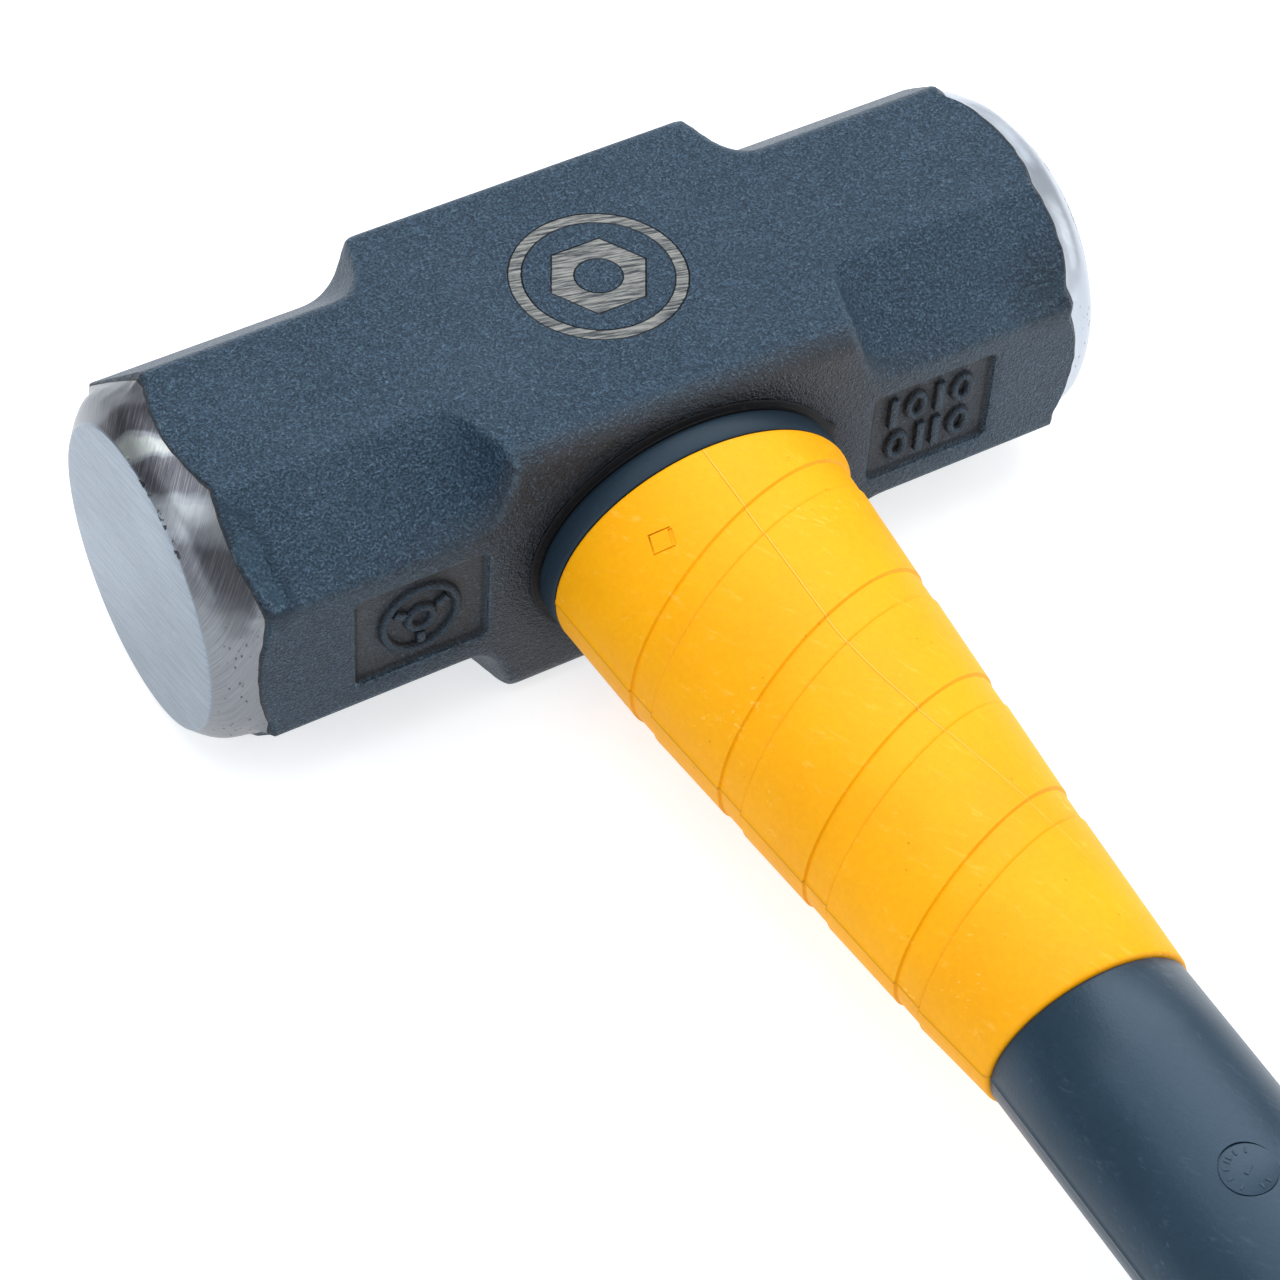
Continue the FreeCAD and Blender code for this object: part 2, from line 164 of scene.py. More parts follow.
class Graph:
    """The node tree of one material, with Object coordinates in millimetres."""

    def __init__(self, name: str) -> None:
        """Start an empty material of this name.

        Args:
            name: The material's name.
        """
        self.material = bpy.data.materials.new(name)
        self.material.use_nodes = True
        self.tree = self.material.node_tree
        self.tree.nodes.clear()
        coordinates = self.node("ShaderNodeTexCoord")
        to_millimetres = {"operation": "SCALE"}
        self.place = self.node(
            "ShaderNodeVectorMath", to_millimetres,
            {0: coordinates.outputs["Object"], "Scale": 1 / METRE},
        ).outputs[0]

    def node(
        self, kind: str, settings: dict | None = None, inputs: dict | None = None
    ) -> bpy.types.Node:
        """Add a node.

        Args:
            kind: The node's type.
            settings: Its properties; "stops" fills a colour ramp with (position, colour) pairs.
            inputs: Socket names or indices with a Signal, a socket or a plain value each.

        Returns:
            The node.
        """
        made = self.tree.nodes.new(kind)
        for key, value in (settings or {}).items():
            if key == "stops":
                self._fill_ramp(made.color_ramp, value)
            else:
                setattr(made, key, value)
        for key, value in (inputs or {}).items():
            if isinstance(value, Signal):
                value = value.socket
            if isinstance(value, bpy.types.NodeSocket):
                self.tree.links.new(value, made.inputs[key])
            else:
                made.inputs[key].default_value = value
        return made

    @staticmethod
    def _fill_ramp(ramp: bpy.types.ColorRamp, stops: Iterable[tuple[float, Colour]]) -> None:
        """Give a colour ramp its stops.

        Args:
            ramp: The ramp.
            stops: Pairs of position and colour.
        """
        stops = list(stops)
        while len(ramp.elements) < len(stops):
            ramp.elements.new(1.0)
        for element, (position, colour) in zip(ramp.elements, stops):
            element.position = position
            element.color = (*colour, 1.0)

    def axes(self) -> tuple[Signal, Signal, Signal]:
        """Return X, Y and Z in millimetres."""
        parts = self.node("ShaderNodeSeparateXYZ", None, {0: self.place})
        return tuple(Signal(self, output) for output in parts.outputs)

    def stretched(self, stretch: Colour, turn: Colour = (0.0, 0.0, 0.0)) -> bpy.types.NodeSocket:
        """Return the coordinates turned, then scaled along each axis.

        Args:
            stretch: More than 1 along an axis makes a pattern shorter there.
            turn: Rotation in radians.

        Returns:
            The coordinates' socket.
        """
        made = self.node(
            "ShaderNodeMapping", {"vector_type": "TEXTURE"},
            {"Vector": self.place, "Rotation": turn, "Scale": tuple(1 / part for part in stretch)},
        )
        return made.outputs[0]

    def grain(
        self, size: float, detail: float = 2.0, rough: float = 0.5, stretch: Colour = (1.0, 1.0, 1.0),
        turn: Colour = (0.0, 0.0, 0.0), warp: float = 0.0,
    ) -> Signal:
        """Add noise whose lumps are about this size.

        Args:
            size: Size of a lump in millimetres.
            detail: Number of finer octaves.
            rough: How strong the finer octaves are.
            stretch: More than 1 along an axis makes the lumps shorter there.
            turn: Rotation of the pattern in radians.
            warp: Distortion.

        Returns:
            A value around 0.5.
        """
        made = self.node(
            "ShaderNodeTexNoise", {"noise_dimensions": "3D"},
            {"Vector": self.stretched(stretch, turn), "Scale": 1 / size, "Detail": detail,
             "Roughness": rough, "Distortion": warp},
        )
        return Signal(self, made.outputs[0])

    def grain_on(self, place: tuple, size: float, detail: float = 2.0, rough: float = 0.5) -> Signal:
        """Add noise on three signals instead of on X, Y and Z.

        Args:
            place: The three signals.
            size: Size of a lump in the signals' unit.
            detail: Number of finer octaves.
            rough: How strong the finer octaves are.

        Returns:
            A value around 0.5.
        """
        where = self.node("ShaderNodeCombineXYZ", None, dict(enumerate(place))).outputs[0]
        made = self.node(
            "ShaderNodeTexNoise", {"noise_dimensions": "3D"},
            {"Vector": where, "Scale": 1 / size, "Detail": detail, "Roughness": rough},
        )
        return Signal(self, made.outputs[0])

    def cells(self, size: float, feature: str = "F1", stretch: Colour = (1.0, 1.0, 1.0)) -> Signal:
        """Add cells of about this size and return the distance to their points or edges.

        Args:
            size: Size of a cell in millimetres.
            feature: What the distance is measured to.
            stretch: More than 1 along an axis makes the cells shorter there.

        Returns:
            The distance, as a share of a cell.
        """
        made = self.node(
            "ShaderNodeTexVoronoi", {"feature": feature},
            {"Vector": self.stretched(stretch), "Scale": 1 / size},
        )
        return Signal(self, made.outputs["Distance"])

    def edge_wear(self, low: float, high: float) -> Signal:
        """Return 1 on convex edges and 0 on flats and hollows."""
        made = self.node("ShaderNodeNewGeometry")
        return Signal(self, made.outputs["Pointiness"]).rise(low, high)

    def mix(
        self, factor: Signal | float, first: Colour | bpy.types.NodeSocket,
        second: Colour | bpy.types.NodeSocket, mode: str = "MIX",
    ) -> bpy.types.NodeSocket:
        """Blend two colours.

        Args:
            factor: 0 gives the first and 1 the second.
            first: A colour or a colour socket.
            second: A colour or a colour socket.
            mode: The blend type.

        Returns:
            The blended colour's socket.
        """
        first, second = (
            (*colour, 1.0) if isinstance(colour, tuple) else colour for colour in (first, second)
        )
        made = self.node(
            "ShaderNodeMix", {"data_type": "RGBA", "blend_type": mode}, {0: factor, 6: first, 7: second}
        )
        return made.outputs[2]

    def ramp(self, signal: Signal, stops: Iterable[tuple[float, Colour]]) -> bpy.types.NodeSocket:
        """Turn a signal into colour through stops."""
        return self.node("ShaderNodeValToRGB", {"stops": stops}, {0: signal}).outputs[0]

    def relief(
        self, height: Signal, depth: float, strength: float = 1.0,
        under: bpy.types.NodeSocket | None = None,
    ) -> bpy.types.NodeSocket:
        """Add a Bump node.

        Args:
            height: The height, from 0 to 1.
            depth: Millimetres between height 0 and height 1.
            strength: How much of it shows.
            under: A coarser relief's normal below this one.

        Returns:
            The normal's socket.
        """
        inputs = {"Height": height, "Distance": depth * METRE, "Strength": strength}
        if under is not None:
            inputs["Normal"] = under
        return self.node("ShaderNodeBump", None, inputs).outputs[0]

    def surface(self, inputs: dict) -> bpy.types.Material:
        """Finish the material with one Principled shader that takes these inputs.

        Args:
            inputs: Socket names with a value or a link each.

        Returns:
            The material.
        """
        shader = self.node("ShaderNodeBsdfPrincipled", None, inputs)
        self.node("ShaderNodeOutputMaterial", None, {0: shader.outputs[0]})
        return self.material


# ---------------------------------------------------------------- finishes


@dataclass(frozen=True)
class RingBadge:
    """Outline of the plain badge etched through the enamel: a ring round a hexagon nut."""

    centre: tuple[float, float] = (0.2, 1.6)
    ring_outer: float = 15.9
    ring_inner: float = 13.5
    nut_flat: float = 8.3
    nut_bore: float = 4.3
    softness: float = 0.2
    lowest: float = 55.0

    def mask(self, graph: Graph) -> Signal:
        """Return 1 where the badge is etched on the upper cheek.

        Args:
            graph: The enamel's node tree.

        Returns:
            The mask.
        """
        x, y, z = graph.axes()
        east, north = x - self.centre[0], y - self.centre[1]
        reach = (east * east + north * north) ** 0.5
        ragged = (graph.grain(0.7, 2) - 0.5) * 0.25
        soft = self.softness
        ring = (reach + ragged).rise(self.ring_inner - soft, self.ring_inner + soft)
        ring = ring * (reach + ragged).rise(self.ring_outer - soft, self.ring_outer + soft, 1.0, 0.0)
        across = abs(north)
        for turn in (math.radians(60), math.radians(120)):
            across = across.at_least(abs(east * math.sin(turn) + north * math.cos(turn)))
        nut = (across + ragged).rise(self.nut_flat - soft, self.nut_flat + soft, 1.0, 0.0)
        nut = nut * (reach + ragged).rise(self.nut_bore - soft, self.nut_bore + soft)
        return ring.at_least(nut) * z.rise(self.lowest, self.lowest + 1.0)


@dataclass(frozen=True)
class TexturedEnamel:
    """Blue-grey enamel with a fine sandy texture, thin on edges, on forged steel; painted glints, shade
    and a warm reflection lie in its colour.
    """

    deep: Colour = (0.004, 0.011, 0.020)
    middle: Colour = (0.021, 0.041, 0.067)
    light: Colour = (0.094, 0.145, 0.188)
    pooled: Colour = (0.030, 0.052, 0.072)
    panel_floor: Colour = (0.052, 0.046, 0.043)
    # Painted warm reflection of the yellow sleeve, a little darker than the enamel.
    warm_bounce: Colour = (0.030, 0.024, 0.021)
    etched_dark: Colour = (0.014, 0.013, 0.013)
    etched_light: Colour = (0.175, 0.168, 0.150)
    # Near black: the border's hairline and the badge's outline, which are real, and painted shade in
    # the panels and round the gasket.
    dark_line_and_shade: Colour = (0.006, 0.005, 0.005)
    badge: RingBadge = RingBadge()

    def material(
        self, border: Callable[[Graph], Signal], handle_side: float, axis: float,
        seal: tuple[float, float],
    ) -> bpy.types.Material:
        """Build the enamel.

        Args:
            border: Gives the distance in millimetres from the ground steel's border.
            handle_side: Where the handle side of the head is, along Y.
            axis: Height of the head's axis.
            seal: Half sizes of the gasket, along X and Z; shade is painted on the enamel round it.

        Returns:
            The material.
        """
        graph = Graph("textured_enamel")
        x, y, z = graph.axes()
        sand = graph.grain(0.45, 2, 0.62)
        pebble = graph.grain(1.25, 2, 0.6)
        cloud = graph.grain(38.0, 3, 0.55)
        etched = self.badge.mask(graph)
        streaks = graph.grain(
            0.6, 4, 0.75, stretch=(0.08, 1.0, 1.0), turn=(0.0, 0.0, math.radians(-14))
        )
        facing_handle = y.rise(handle_side + 0.3, handle_side + 5.0, 1.0, 0.0)
        panels = abs(abs(x) - PANEL_CENTRE).rise(12.2, 12.9, 1.0, 0.0)
        panels = panels * abs(z - axis).rise(9.8, 10.5, 1.0, 0.0) * facing_handle
        in_panel = y.rise(handle_side + 0.45, handle_side + 0.8) * panels
        worn = graph.grain(1.0, 3, 0.75).rise(0.42, 0.58)
        wear = graph.edge_wear(0.504, 0.55) * worn * (1.0 - panels)
        edge = border(graph)
        pool, rim = self.pool(graph, edge, x, y, z, axis)
        # Painted warm reflection of the yellow sleeve, a little darker than the enamel, on the handle
        # side near the eye.
        bounce_near_eye = abs(x).rise(22.0, 58.0, 1.0, 0.1) * facing_handle
        colour = graph.mix(sand.rise(0.43, 0.55), self.deep, self.middle)
        colour = graph.mix(cloud.rise(0.4, 0.75) * 0.10, colour, self.light)
        colour = graph.mix(bounce_near_eye * 0.8, colour, self.warm_bounce)
        colour = graph.mix(in_panel * 0.75, colour, self.panel_floor)
        # Light flecks on the sand's peaks: the texture's own speckle, brightened as painted glints.
        colour = graph.mix(sand.rise(0.59, 0.68) * 0.6, colour, self.light)
        colour = graph.mix(wear * 0.55, colour, self.light)
        # Painted shade on the panels' upper walls; the same mask darkens the tops of the raised marks.
        colour = graph.mix((panels - in_panel) * 0.5, colour, self.deep)
        # Painted shadow, near black, on the panel walls and the sides of the raised marks.
        relief_shadow = y.rise(handle_side + 0.5, handle_side + 0.7) * panels
        relief_shadow = relief_shadow * y.rise(handle_side + 1.3, handle_side + 1.45, 1.0, 0.0)
        colour = graph.mix(relief_shadow * 0.9, colour, self.dark_line_and_shade)
        # Painted shade on the enamel in a dark halo round the gasket.
        from_handle = ((x * x) / seal[0] ** 2 + ((z - axis) * (z - axis)) / seal[1] ** 2) ** 0.5
        shade_round_gasket = from_handle.rise(1.0, 1.2, 1.0, 0.0) * facing_handle
        colour = graph.mix(shade_round_gasket * 0.75, colour, self.dark_line_and_shade)
        wrinkle, scaly = self.wrinkle(graph, x, y, z, axis)
        # Painted shade in the scaly patch's creases and painted highlights on its ridges.
        colour = graph.mix(wrinkle.rise(0.46, 0.38) * 0.7, colour, self.deep)
        colour = graph.mix(wrinkle.rise(0.55, 0.64) * 0.4, colour, self.light)
        colour = graph.mix(pool * 0.45, colour, self.pooled)
        colour = graph.mix(rim * 0.7, colour, self.deep)
        colour = graph.mix(edge.rise(0.30, 0.80, 1.0, 0.0) * 0.6, colour, self.dark_line_and_shade)
        metal = graph.ramp(streaks, ((0.41, self.etched_dark), (0.60, self.etched_light)))
        colour = graph.mix(etched, colour, metal)
        colour = graph.mix(etched * (1.0 - etched) * 3.4, colour, self.dark_line_and_shade)
        skin = (1.0 - etched) * (1.0 - pool * 0.9)
        rough = 0.34 + sand * 0.14 + (cloud - 0.5) * 0.10 - pool * 0.12 - scaly * 0.10
        rough = rough * (1.0 - etched) + etched * (0.36 + streaks * 0.2)
        normal = graph.relief(wrinkle, 2.4, 1.0)
        normal = graph.relief(pebble * skin, 0.55, 0.8, normal)
        normal = graph.relief(sand * skin, 0.55, 1.0, normal)
        normal = graph.relief(streaks * etched - etched * 0.6, 0.05, 0.7, normal)
        return graph.surface({
            "Base Color": colour, "Roughness": rough, "Metallic": etched * 0.6, "Normal": normal,
            "Specular IOR Level": 0.45, "Specular Tint": (0.55, 0.76, 1.0, 1.0),
        })

    @staticmethod
    def wrinkle(
        graph: Graph, x: Signal, y: Signal, z: Signal, axis: float
    ) -> tuple[Signal, Signal]:
        """Return the creased scale pattern on the right end's lower chamfer.

        Args:
            graph: The enamel's node tree.
            x: X in millimetres.
            y: Y in millimetres.
            z: Z in millimetres.
            axis: Height of the head's axis.

        Returns:
            A height from 0 to 1, level away from the patch, and the patch.
        """
        creases = graph.grain(1.9, 4, 0.7, stretch=(0.6, 1.0, 1.6), warp=1.5)
        round_axis = (0.0 - y).angle_from(z - axis)
        patch = x.rise(66.0, 77.0) * abs(round_axis - 56.0).rise(6.0, 20.0, 1.0, 0.0)
        return (creases - 0.5) * patch + 0.5, patch

    @staticmethod
    def pool(
        graph: Graph, edge: Signal, x: Signal, y: Signal, z: Signal, axis: float
    ) -> tuple[Signal, Signal]:
        """Find where thick glossy enamel ran together beside the left border.

        Args:
            graph: The enamel's node tree.
            edge: Distance from the border.
            x: X in millimetres.
            y: Y in millimetres.
            z: Z in millimetres.
            axis: Height of the head's axis.

        Returns:
            1 on the pool, and 1 on the dark rim round it.
        """
        round_axis = (0.0 - y).angle_from(z - axis)
        along = abs(round_axis - 48.0) / 15.0
        wobble = (graph.grain(3.4, 3, 0.6) - 0.5) * 1.4
        reach = (along * along + (edge - 2.6) * (edge - 2.6) / 8.0) ** 0.5 + wobble
        left = (0.0 - x).rise(60.0, 62.0)
        rim = reach.rise(0.95, 1.1) * reach.rise(1.15, 1.5, 1.0, 0.0)
        return reach.rise(0.75, 1.05, 1.0, 0.0) * left, rim * left


@dataclass(frozen=True)
class GroundSteel:
    """Bare steel ground on a belt: fine lines on the face, streaks and painted dark and pale
    reflections on the bevel.
    """

    face_dark: Colour = (0.15, 0.18, 0.22)
    face_light: Colour = (0.30, 0.35, 0.41)
    # The next three colours are the bevel's painted reflections: dark, pale and mid; the dark and pale
    # ones also colour its grinding streaks.
    dark_reflection_and_streak: Colour = (0.060, 0.058, 0.070)
    pale_reflection_and_streak: Colour = (0.36, 0.375, 0.36)
    grey: Colour = (0.20, 0.21, 0.23)
    pale: Colour = (0.50, 0.54, 0.60)
    pit: Colour = (0.02, 0.02, 0.02)
    # Brightness of the bevel's painted reflections by angle round the axis, in degrees.
    reflection_patches: Stops = ((-60, 0.75), (-26, 0.35), (-20, 0.0), (-9, 0.02), (-5, 0.95), (2, 0.9), (6, 0.08),
                      (18, 0.1), (24, 0.66), (33, 0.56), (40, 0.12), (52, 0.2), (62, 0.5), (180, 0.55))

    def material(self, axis_height: float, face_radii: tuple[float, float]) -> bpy.types.Material:
        """Build the ground steel.

        Args:
            axis_height: Height of the head's axis.
            face_radii: Radius of the flat face on the left and on the right.

        Returns:
            The material.
        """
        graph = Graph("ground_steel")
        x, y, z = graph.axes()
        up = z - axis_height
        reach = (y * y + up * up) ** 0.5
        right = x.above(0.0)
        past_edge = reach - face_radii[0] + right * (face_radii[0] - face_radii[1])
        face = past_edge.rise(-0.25, 0.25, 1.0, 0.0)
        on_face = graph.grain(
            0.5, 5, 0.7, stretch=(1.0, 0.04, 1.0), turn=(math.radians(-14), 0.0, 0.0)
        )
        turned = (0.0 - y).angle_from(up)
        skewed = turned * 0.5 - abs(x) * 1.2
        across = graph.grain_on((skewed, abs(x) * 0.06, x.above(0.0) * 9.0), 0.42, 4, 0.75)
        # The bevel's colour by angle: painted dark and pale reflections, with real grinding streaks on
        # top.
        warped = turned + (graph.grain(5.0, 2) - 0.5) * 9.0 + (abs(x) - 86.0) * 1.2
        ramp = tuple((((place + 180) / 360), (value,) * 3) for place, value in self.reflection_patches)
        patch = graph.ramp((warped + 180.0) / 360.0, ramp)
        bevel = graph.mix(Signal(graph, patch).rise(0.0, 0.5), self.dark_reflection_and_streak, self.grey)
        bevel = graph.mix(Signal(graph, patch).rise(0.5, 1.0), bevel, self.pale_reflection_and_streak)
        bevel = graph.mix(across.rise(0.46, 0.70) * 0.3, bevel, self.pale_reflection_and_streak)
        bevel = graph.mix(across.rise(0.34, 0.52, 1.0, 0.0) * 0.26, bevel, self.dark_reflection_and_streak)
        bevel = graph.mix(right * 0.8, bevel, self.pale)
        cloud = graph.grain(24.0, 3, 0.5)
        lines = on_face.rise(0.36, 0.64)
        flat = graph.mix(lines * 0.5 + cloud * 0.5, self.face_dark, self.face_light)
        colour = graph.mix(face, bevel, flat)
        low_bevel = turned.rise(58.0, 80.0) * (1.0 - face) + face * 0.12
        pits = graph.cells(1.0, stretch=(1.0, 1.0, 0.6)).rise(0.10, 0.26, 1.0, 0.0) * low_bevel
        pits = pits * graph.grain(2.6, 2).rise(0.42, 0.54)
        chips = abs(past_edge).rise(0.15, 0.45, 1.0, 0.0) * graph.grain(1.4, 3, 0.7).rise(0.50, 0.56)
        chips = chips * turned.rise(-8.0, 0.0) * turned.rise(34.0, 46.0, 1.0, 0.0)
        pits = pits.at_least(chips)
        colour = graph.mix(pits * 0.5 + chips * 0.4, colour, self.pit)
        rough = 0.27 + on_face * face * 0.16 + (1.0 - face) * across * 0.16 + pits * 0.3
        normal = graph.relief(lines * face, 0.03, 0.6)
        normal = graph.relief(across * (1.0 - face), 0.05, 0.7, normal)
        normal = graph.relief(1.0 - pits, 0.14, 0.8, normal)
        return graph.surface({
            "Base Color": colour, "Roughness": rough, "Metallic": 0.95, "Normal": normal,
        })


@dataclass(frozen=True)
class ScorchedEdge:
    """The hairline of scorched enamel where the grinding stops."""

    char: Colour = (0.005, 0.005, 0.006)
    rust: Colour = (0.040, 0.026, 0.018)

    def material(self) -> bpy.types.Material:
        """Build the hairline.

        Returns:
            The material.
        """
        graph = Graph("scorched_edge")
        crumbs = graph.grain(0.8, 3, 0.7)
        return graph.surface({
            "Base Color": graph.mix(crumbs.rise(0.45, 0.70), self.char, self.rust),
            "Roughness": 0.55 + crumbs * 0.2, "Normal": graph.relief(crumbs, 0.1, 0.6),
        })


class Mould(Enum):
    """How a moulded surface feels: fine matt rubber or smooth satin plastic."""

    RUBBER = "rubber"
    SATIN = "satin"


@dataclass(frozen=True)
class Moulded:
    """Moulded rubber or plastic with handling marks, and painted shade along the seam and near the
    head.
    """

    name: str
    shade: Colour
    body: Colour
    dust: Colour
    feel: Mould
    roughness: float
    knit_line: bool = False
    # Strength of the painted shade along the parting line.
    seam_shade: float = 0.0
    marked: float = 1.0
    # How far from the head painted shade reaches; 0 paints none.
    shade_to: float = 0.0

    def material(self, axis: float = 0.0) -> bpy.types.Material:
        """Build the moulded finish for a handle whose axis is at this height.

        Args:
            axis: Height of the handle's axis.

        Returns:
            The material.
        """
        graph = Graph(self.name)
        cloud = graph.grain(30.0, 3, 0.55)
        leather = graph.grain(0.55, 3, 0.6)
        scuffs = graph.grain(1.6, 5, 0.75, stretch=(1.0, 0.16, 1.0), turn=(0.0, 0.0, 0.5), warp=0.4)
        specks = graph.cells(3.4).rise(0.05, 0.10, 1.0, 0.0) * graph.grain(12.0, 2).rise(0.52, 0.6)
        mottle = graph.grain(1.3, 4, 0.7)
        blotches = cloud.rise(0.3, 0.7) * 0.5 + mottle.rise(0.35, 0.65) * 0.25
        colour = graph.mix(blotches, self.shade, self.body)
        colour = graph.mix(scuffs.rise(0.56, 0.72) * 0.3 * self.marked, colour, self.dust)
        colour = graph.mix(self.scratches(graph) * 0.4 * self.marked, colour, self.dust)
        colour = graph.mix(specks * 0.45, colour, self.dark)
        rough = self.roughness + (cloud - 0.5) * 0.10 + scuffs.rise(0.55, 0.8) * 0.12
        depth = 0.10 if self.feel is Mould.RUBBER else 0.07
        normal = graph.relief(leather, depth, 0.6)
        normal = graph.relief(scuffs.rise(0.60, 0.78), 0.02, 0.5, normal)
        if self.knit_line:
            line = self.knit(graph)
            colour = graph.mix(line * 0.35, colour, self.dust)
            normal = graph.relief(line, 0.22, 0.9, normal)
        # Painted shade on the end nearest the head, up to the given distance along the handle.
        if self.shade_to:
            _, y, _ = graph.axes()
            head_end_shade = (0.0 - y).rise(self.shade_to - 0.2, self.shade_to + 0.2, 1.0, 0.0)
            colour = graph.mix(head_end_shade * 0.75, colour, self.dark)
            rough = rough + head_end_shade * 0.2
        # Painted shade along the parting line on both flanks, standing in for the shading of its ridge.
        if self.seam_shade:
            _, _, z = graph.axes()
            colour = graph.mix(abs(z - axis).rise(0.15, 0.45, self.seam_shade, 0.0), colour, self.dark)
        fixed = {"Specular IOR Level": 0.16, "Subsurface Weight": 0.03,
                 "Subsurface Radius": (0.003, 0.0015, 0.0006)}
        if self.feel is Mould.SATIN:
            fixed = {"Specular IOR Level": 0.32, "Specular Tint": (0.62, 0.80, 1.0, 1.0),
                     "Coat Weight": 0.06, "Coat Roughness": 0.25}
        return graph.surface({"Base Color": colour, "Roughness": rough, "Normal": normal, **fixed})

    @staticmethod
    def scratches(graph: Graph) -> Signal:
        """Return 1 on a few fine scratches that run in two directions.

        Args:
            graph: The finish's node tree.

        Returns:
            The scratches' mask.
        """
        lines = None
        for turn, patch in ((0.9, 17.0), (-0.5, 23.0)):
            thin = graph.grain(0.8, 1, 0.5, stretch=(1.0, 0.05, 1.0), turn=(0.0, 0.0, turn))
            kept = graph.grain(patch, 2, 0.5).rise(0.58, 0.68)
            line = thin.rise(0.67, 0.72) * kept
            lines = line if lines is None else lines.at_least(line)
        return lines

    @property
    def dark(self) -> Colour:
        """Return the shade colour at under half its brightness."""
        return tuple(part * 0.45 for part in self.shade)

    @staticmethod
    def knit(graph: Graph) -> Signal:
        """Return 1 on the fine line where the rubber's two flows met.

        Args:
            graph: The sleeve's node tree.

        Returns:
            The line's mask. It follows the top and drifts to one side towards the small end.
        """
        x, y, z = graph.axes()
        down = 0.0 - y
        drift = down.rise(78.0, 150.0, -1.9, 13.0)
        on_top = z.rise(36.0, 40.0)
        fade = down.rise(112.0, 150.0, 1.0, 0.0)
        return abs(x - drift).rise(0.10, 0.32, 1.0, 0.0) * on_top * fade


@dataclass(frozen=True)
class CastResin:
    """Black casting resin with a few trapped bubbles."""

    colour: Colour = (0.014, 0.013, 0.012)
    film: Colour = (0.06, 0.055, 0.05)

    def material(self) -> bpy.types.Material:
        """Build the resin.

        Returns:
            The material.
        """
        graph = Graph("cast_resin")
        swirl = graph.grain(7.0, 4, 0.6, warp=1.2)
        bubbles = graph.cells(1.9).rise(0.10, 0.22, 1.0, 0.0) * graph.grain(6.0, 2).rise(0.48, 0.6)
        colour = graph.mix(swirl.rise(0.4, 0.75) * 0.6, self.colour, self.film)
        normal = graph.relief(swirl, 0.25, 0.5)
        normal = graph.relief(1.0 - bubbles, 0.3, 0.8, normal)
        return graph.surface({
            "Base Color": colour, "Roughness": 0.18 + swirl * 0.25 + bubbles * 0.2, "Normal": normal,
        })


@dataclass(frozen=True)
class DrawnFibreglass:
    """Glass fibres drawn through clear resin: fine straw-coloured lines along the rod."""

    resin: Colour = (0.42, 0.36, 0.20)
    fibre: Colour = (0.80, 0.76, 0.60)

    def material(self) -> bpy.types.Material:
        """Build the fibreglass.

        Returns:
            The material.
        """
        graph = Graph("drawn_fibreglass")
        strands = graph.grain(0.45, 3, 0.6, stretch=(1.0, 0.012, 1.0))
        bundle = graph.grain(3.0, 2, 0.5, stretch=(1.0, 0.03, 1.0))
        tone = strands * 0.6 + bundle * 0.4
        colour = graph.ramp(tone, ((0.32, self.resin), (0.62, self.fibre)))
        return graph.surface({
            "Base Color": colour, "Roughness": 0.25 + strands * 0.25,
            "Normal": graph.relief(strands, 0.05, 0.6),
        })


@dataclass(frozen=True)
class StudioFloor:
    """Seamless white paper that glows as painted light, which keeps it white, pales its shadows and
    lights the head from below; with the faintest fibre.
    """

    white: Colour = (0.50, 0.50, 0.505)
    shade: Colour = (0.46, 0.46, 0.465)
    glow: Colour = (0.96, 0.98, 1.0)
    dim: Colour = (0.90, 0.92, 0.94)

    def material(self) -> bpy.types.Material:
        """Build the paper.

        Returns:
            The material.
        """
        graph = Graph("glowing_white_paper")
        fibre = graph.grain(14.0, 4, 0.6)
        colour = graph.mix(fibre, self.white, self.shade)
        # Emission is painted light: the paper glows, which keeps it white, pales the shadows on it and
        # lights the head from below.
        return graph.surface({
            "Base Color": colour, "Roughness": 0.9 + fibre * 0.05,
            "Emission Color": graph.mix(fibre, self.glow, self.dim), "Emission Strength": 0.72,
        })


# ---------------------------------------------------------------- mesh tools


def new_piece(
    bm: bmesh.types.BMesh, name: str, materials: Sequence[bpy.types.Material]
) -> bpy.types.Object:
    """Turn a mesh in millimetres into a finished object in metres, smooth but for its crisp edges.

    Args:
        bm: The mesh; it is freed.
        name: The object's name.
        materials: Its materials in slot order.

    Returns:
        The object, at the origin, unturned and unscaled.
    """
    bmesh.ops.scale(bm, vec=Vector((METRE, METRE, METRE)), verts=bm.verts)
    crease = math.radians(38)
    for face in bm.faces:
        face.smooth = True
    for edge in bm.edges:
        edge.smooth = len(edge.link_faces) != 2 or edge.calc_face_angle(0.0) < crease
    mesh = bpy.data.meshes.new(name)
    bm.to_mesh(mesh)
    bm.free()
    for material in materials:
        mesh.materials.append(material)
    made = bpy.data.objects.new(name, mesh)
    bpy.context.scene.collection.objects.link(made)
    return made


def scratch_object(bm: bmesh.types.BMesh, name: str) -> bpy.types.Object:
    """Put a mesh that is still in millimetres into the scene so that a modifier can use it.

    Args:
        bm: The mesh; it is freed.
        name: The object's name.

    Returns:
        The object.
    """
    mesh = bpy.data.meshes.new(name)
    bm.to_mesh(mesh)
    bm.free()
    made = bpy.data.objects.new(name, mesh)
    bpy.context.scene.collection.objects.link(made)
    return made


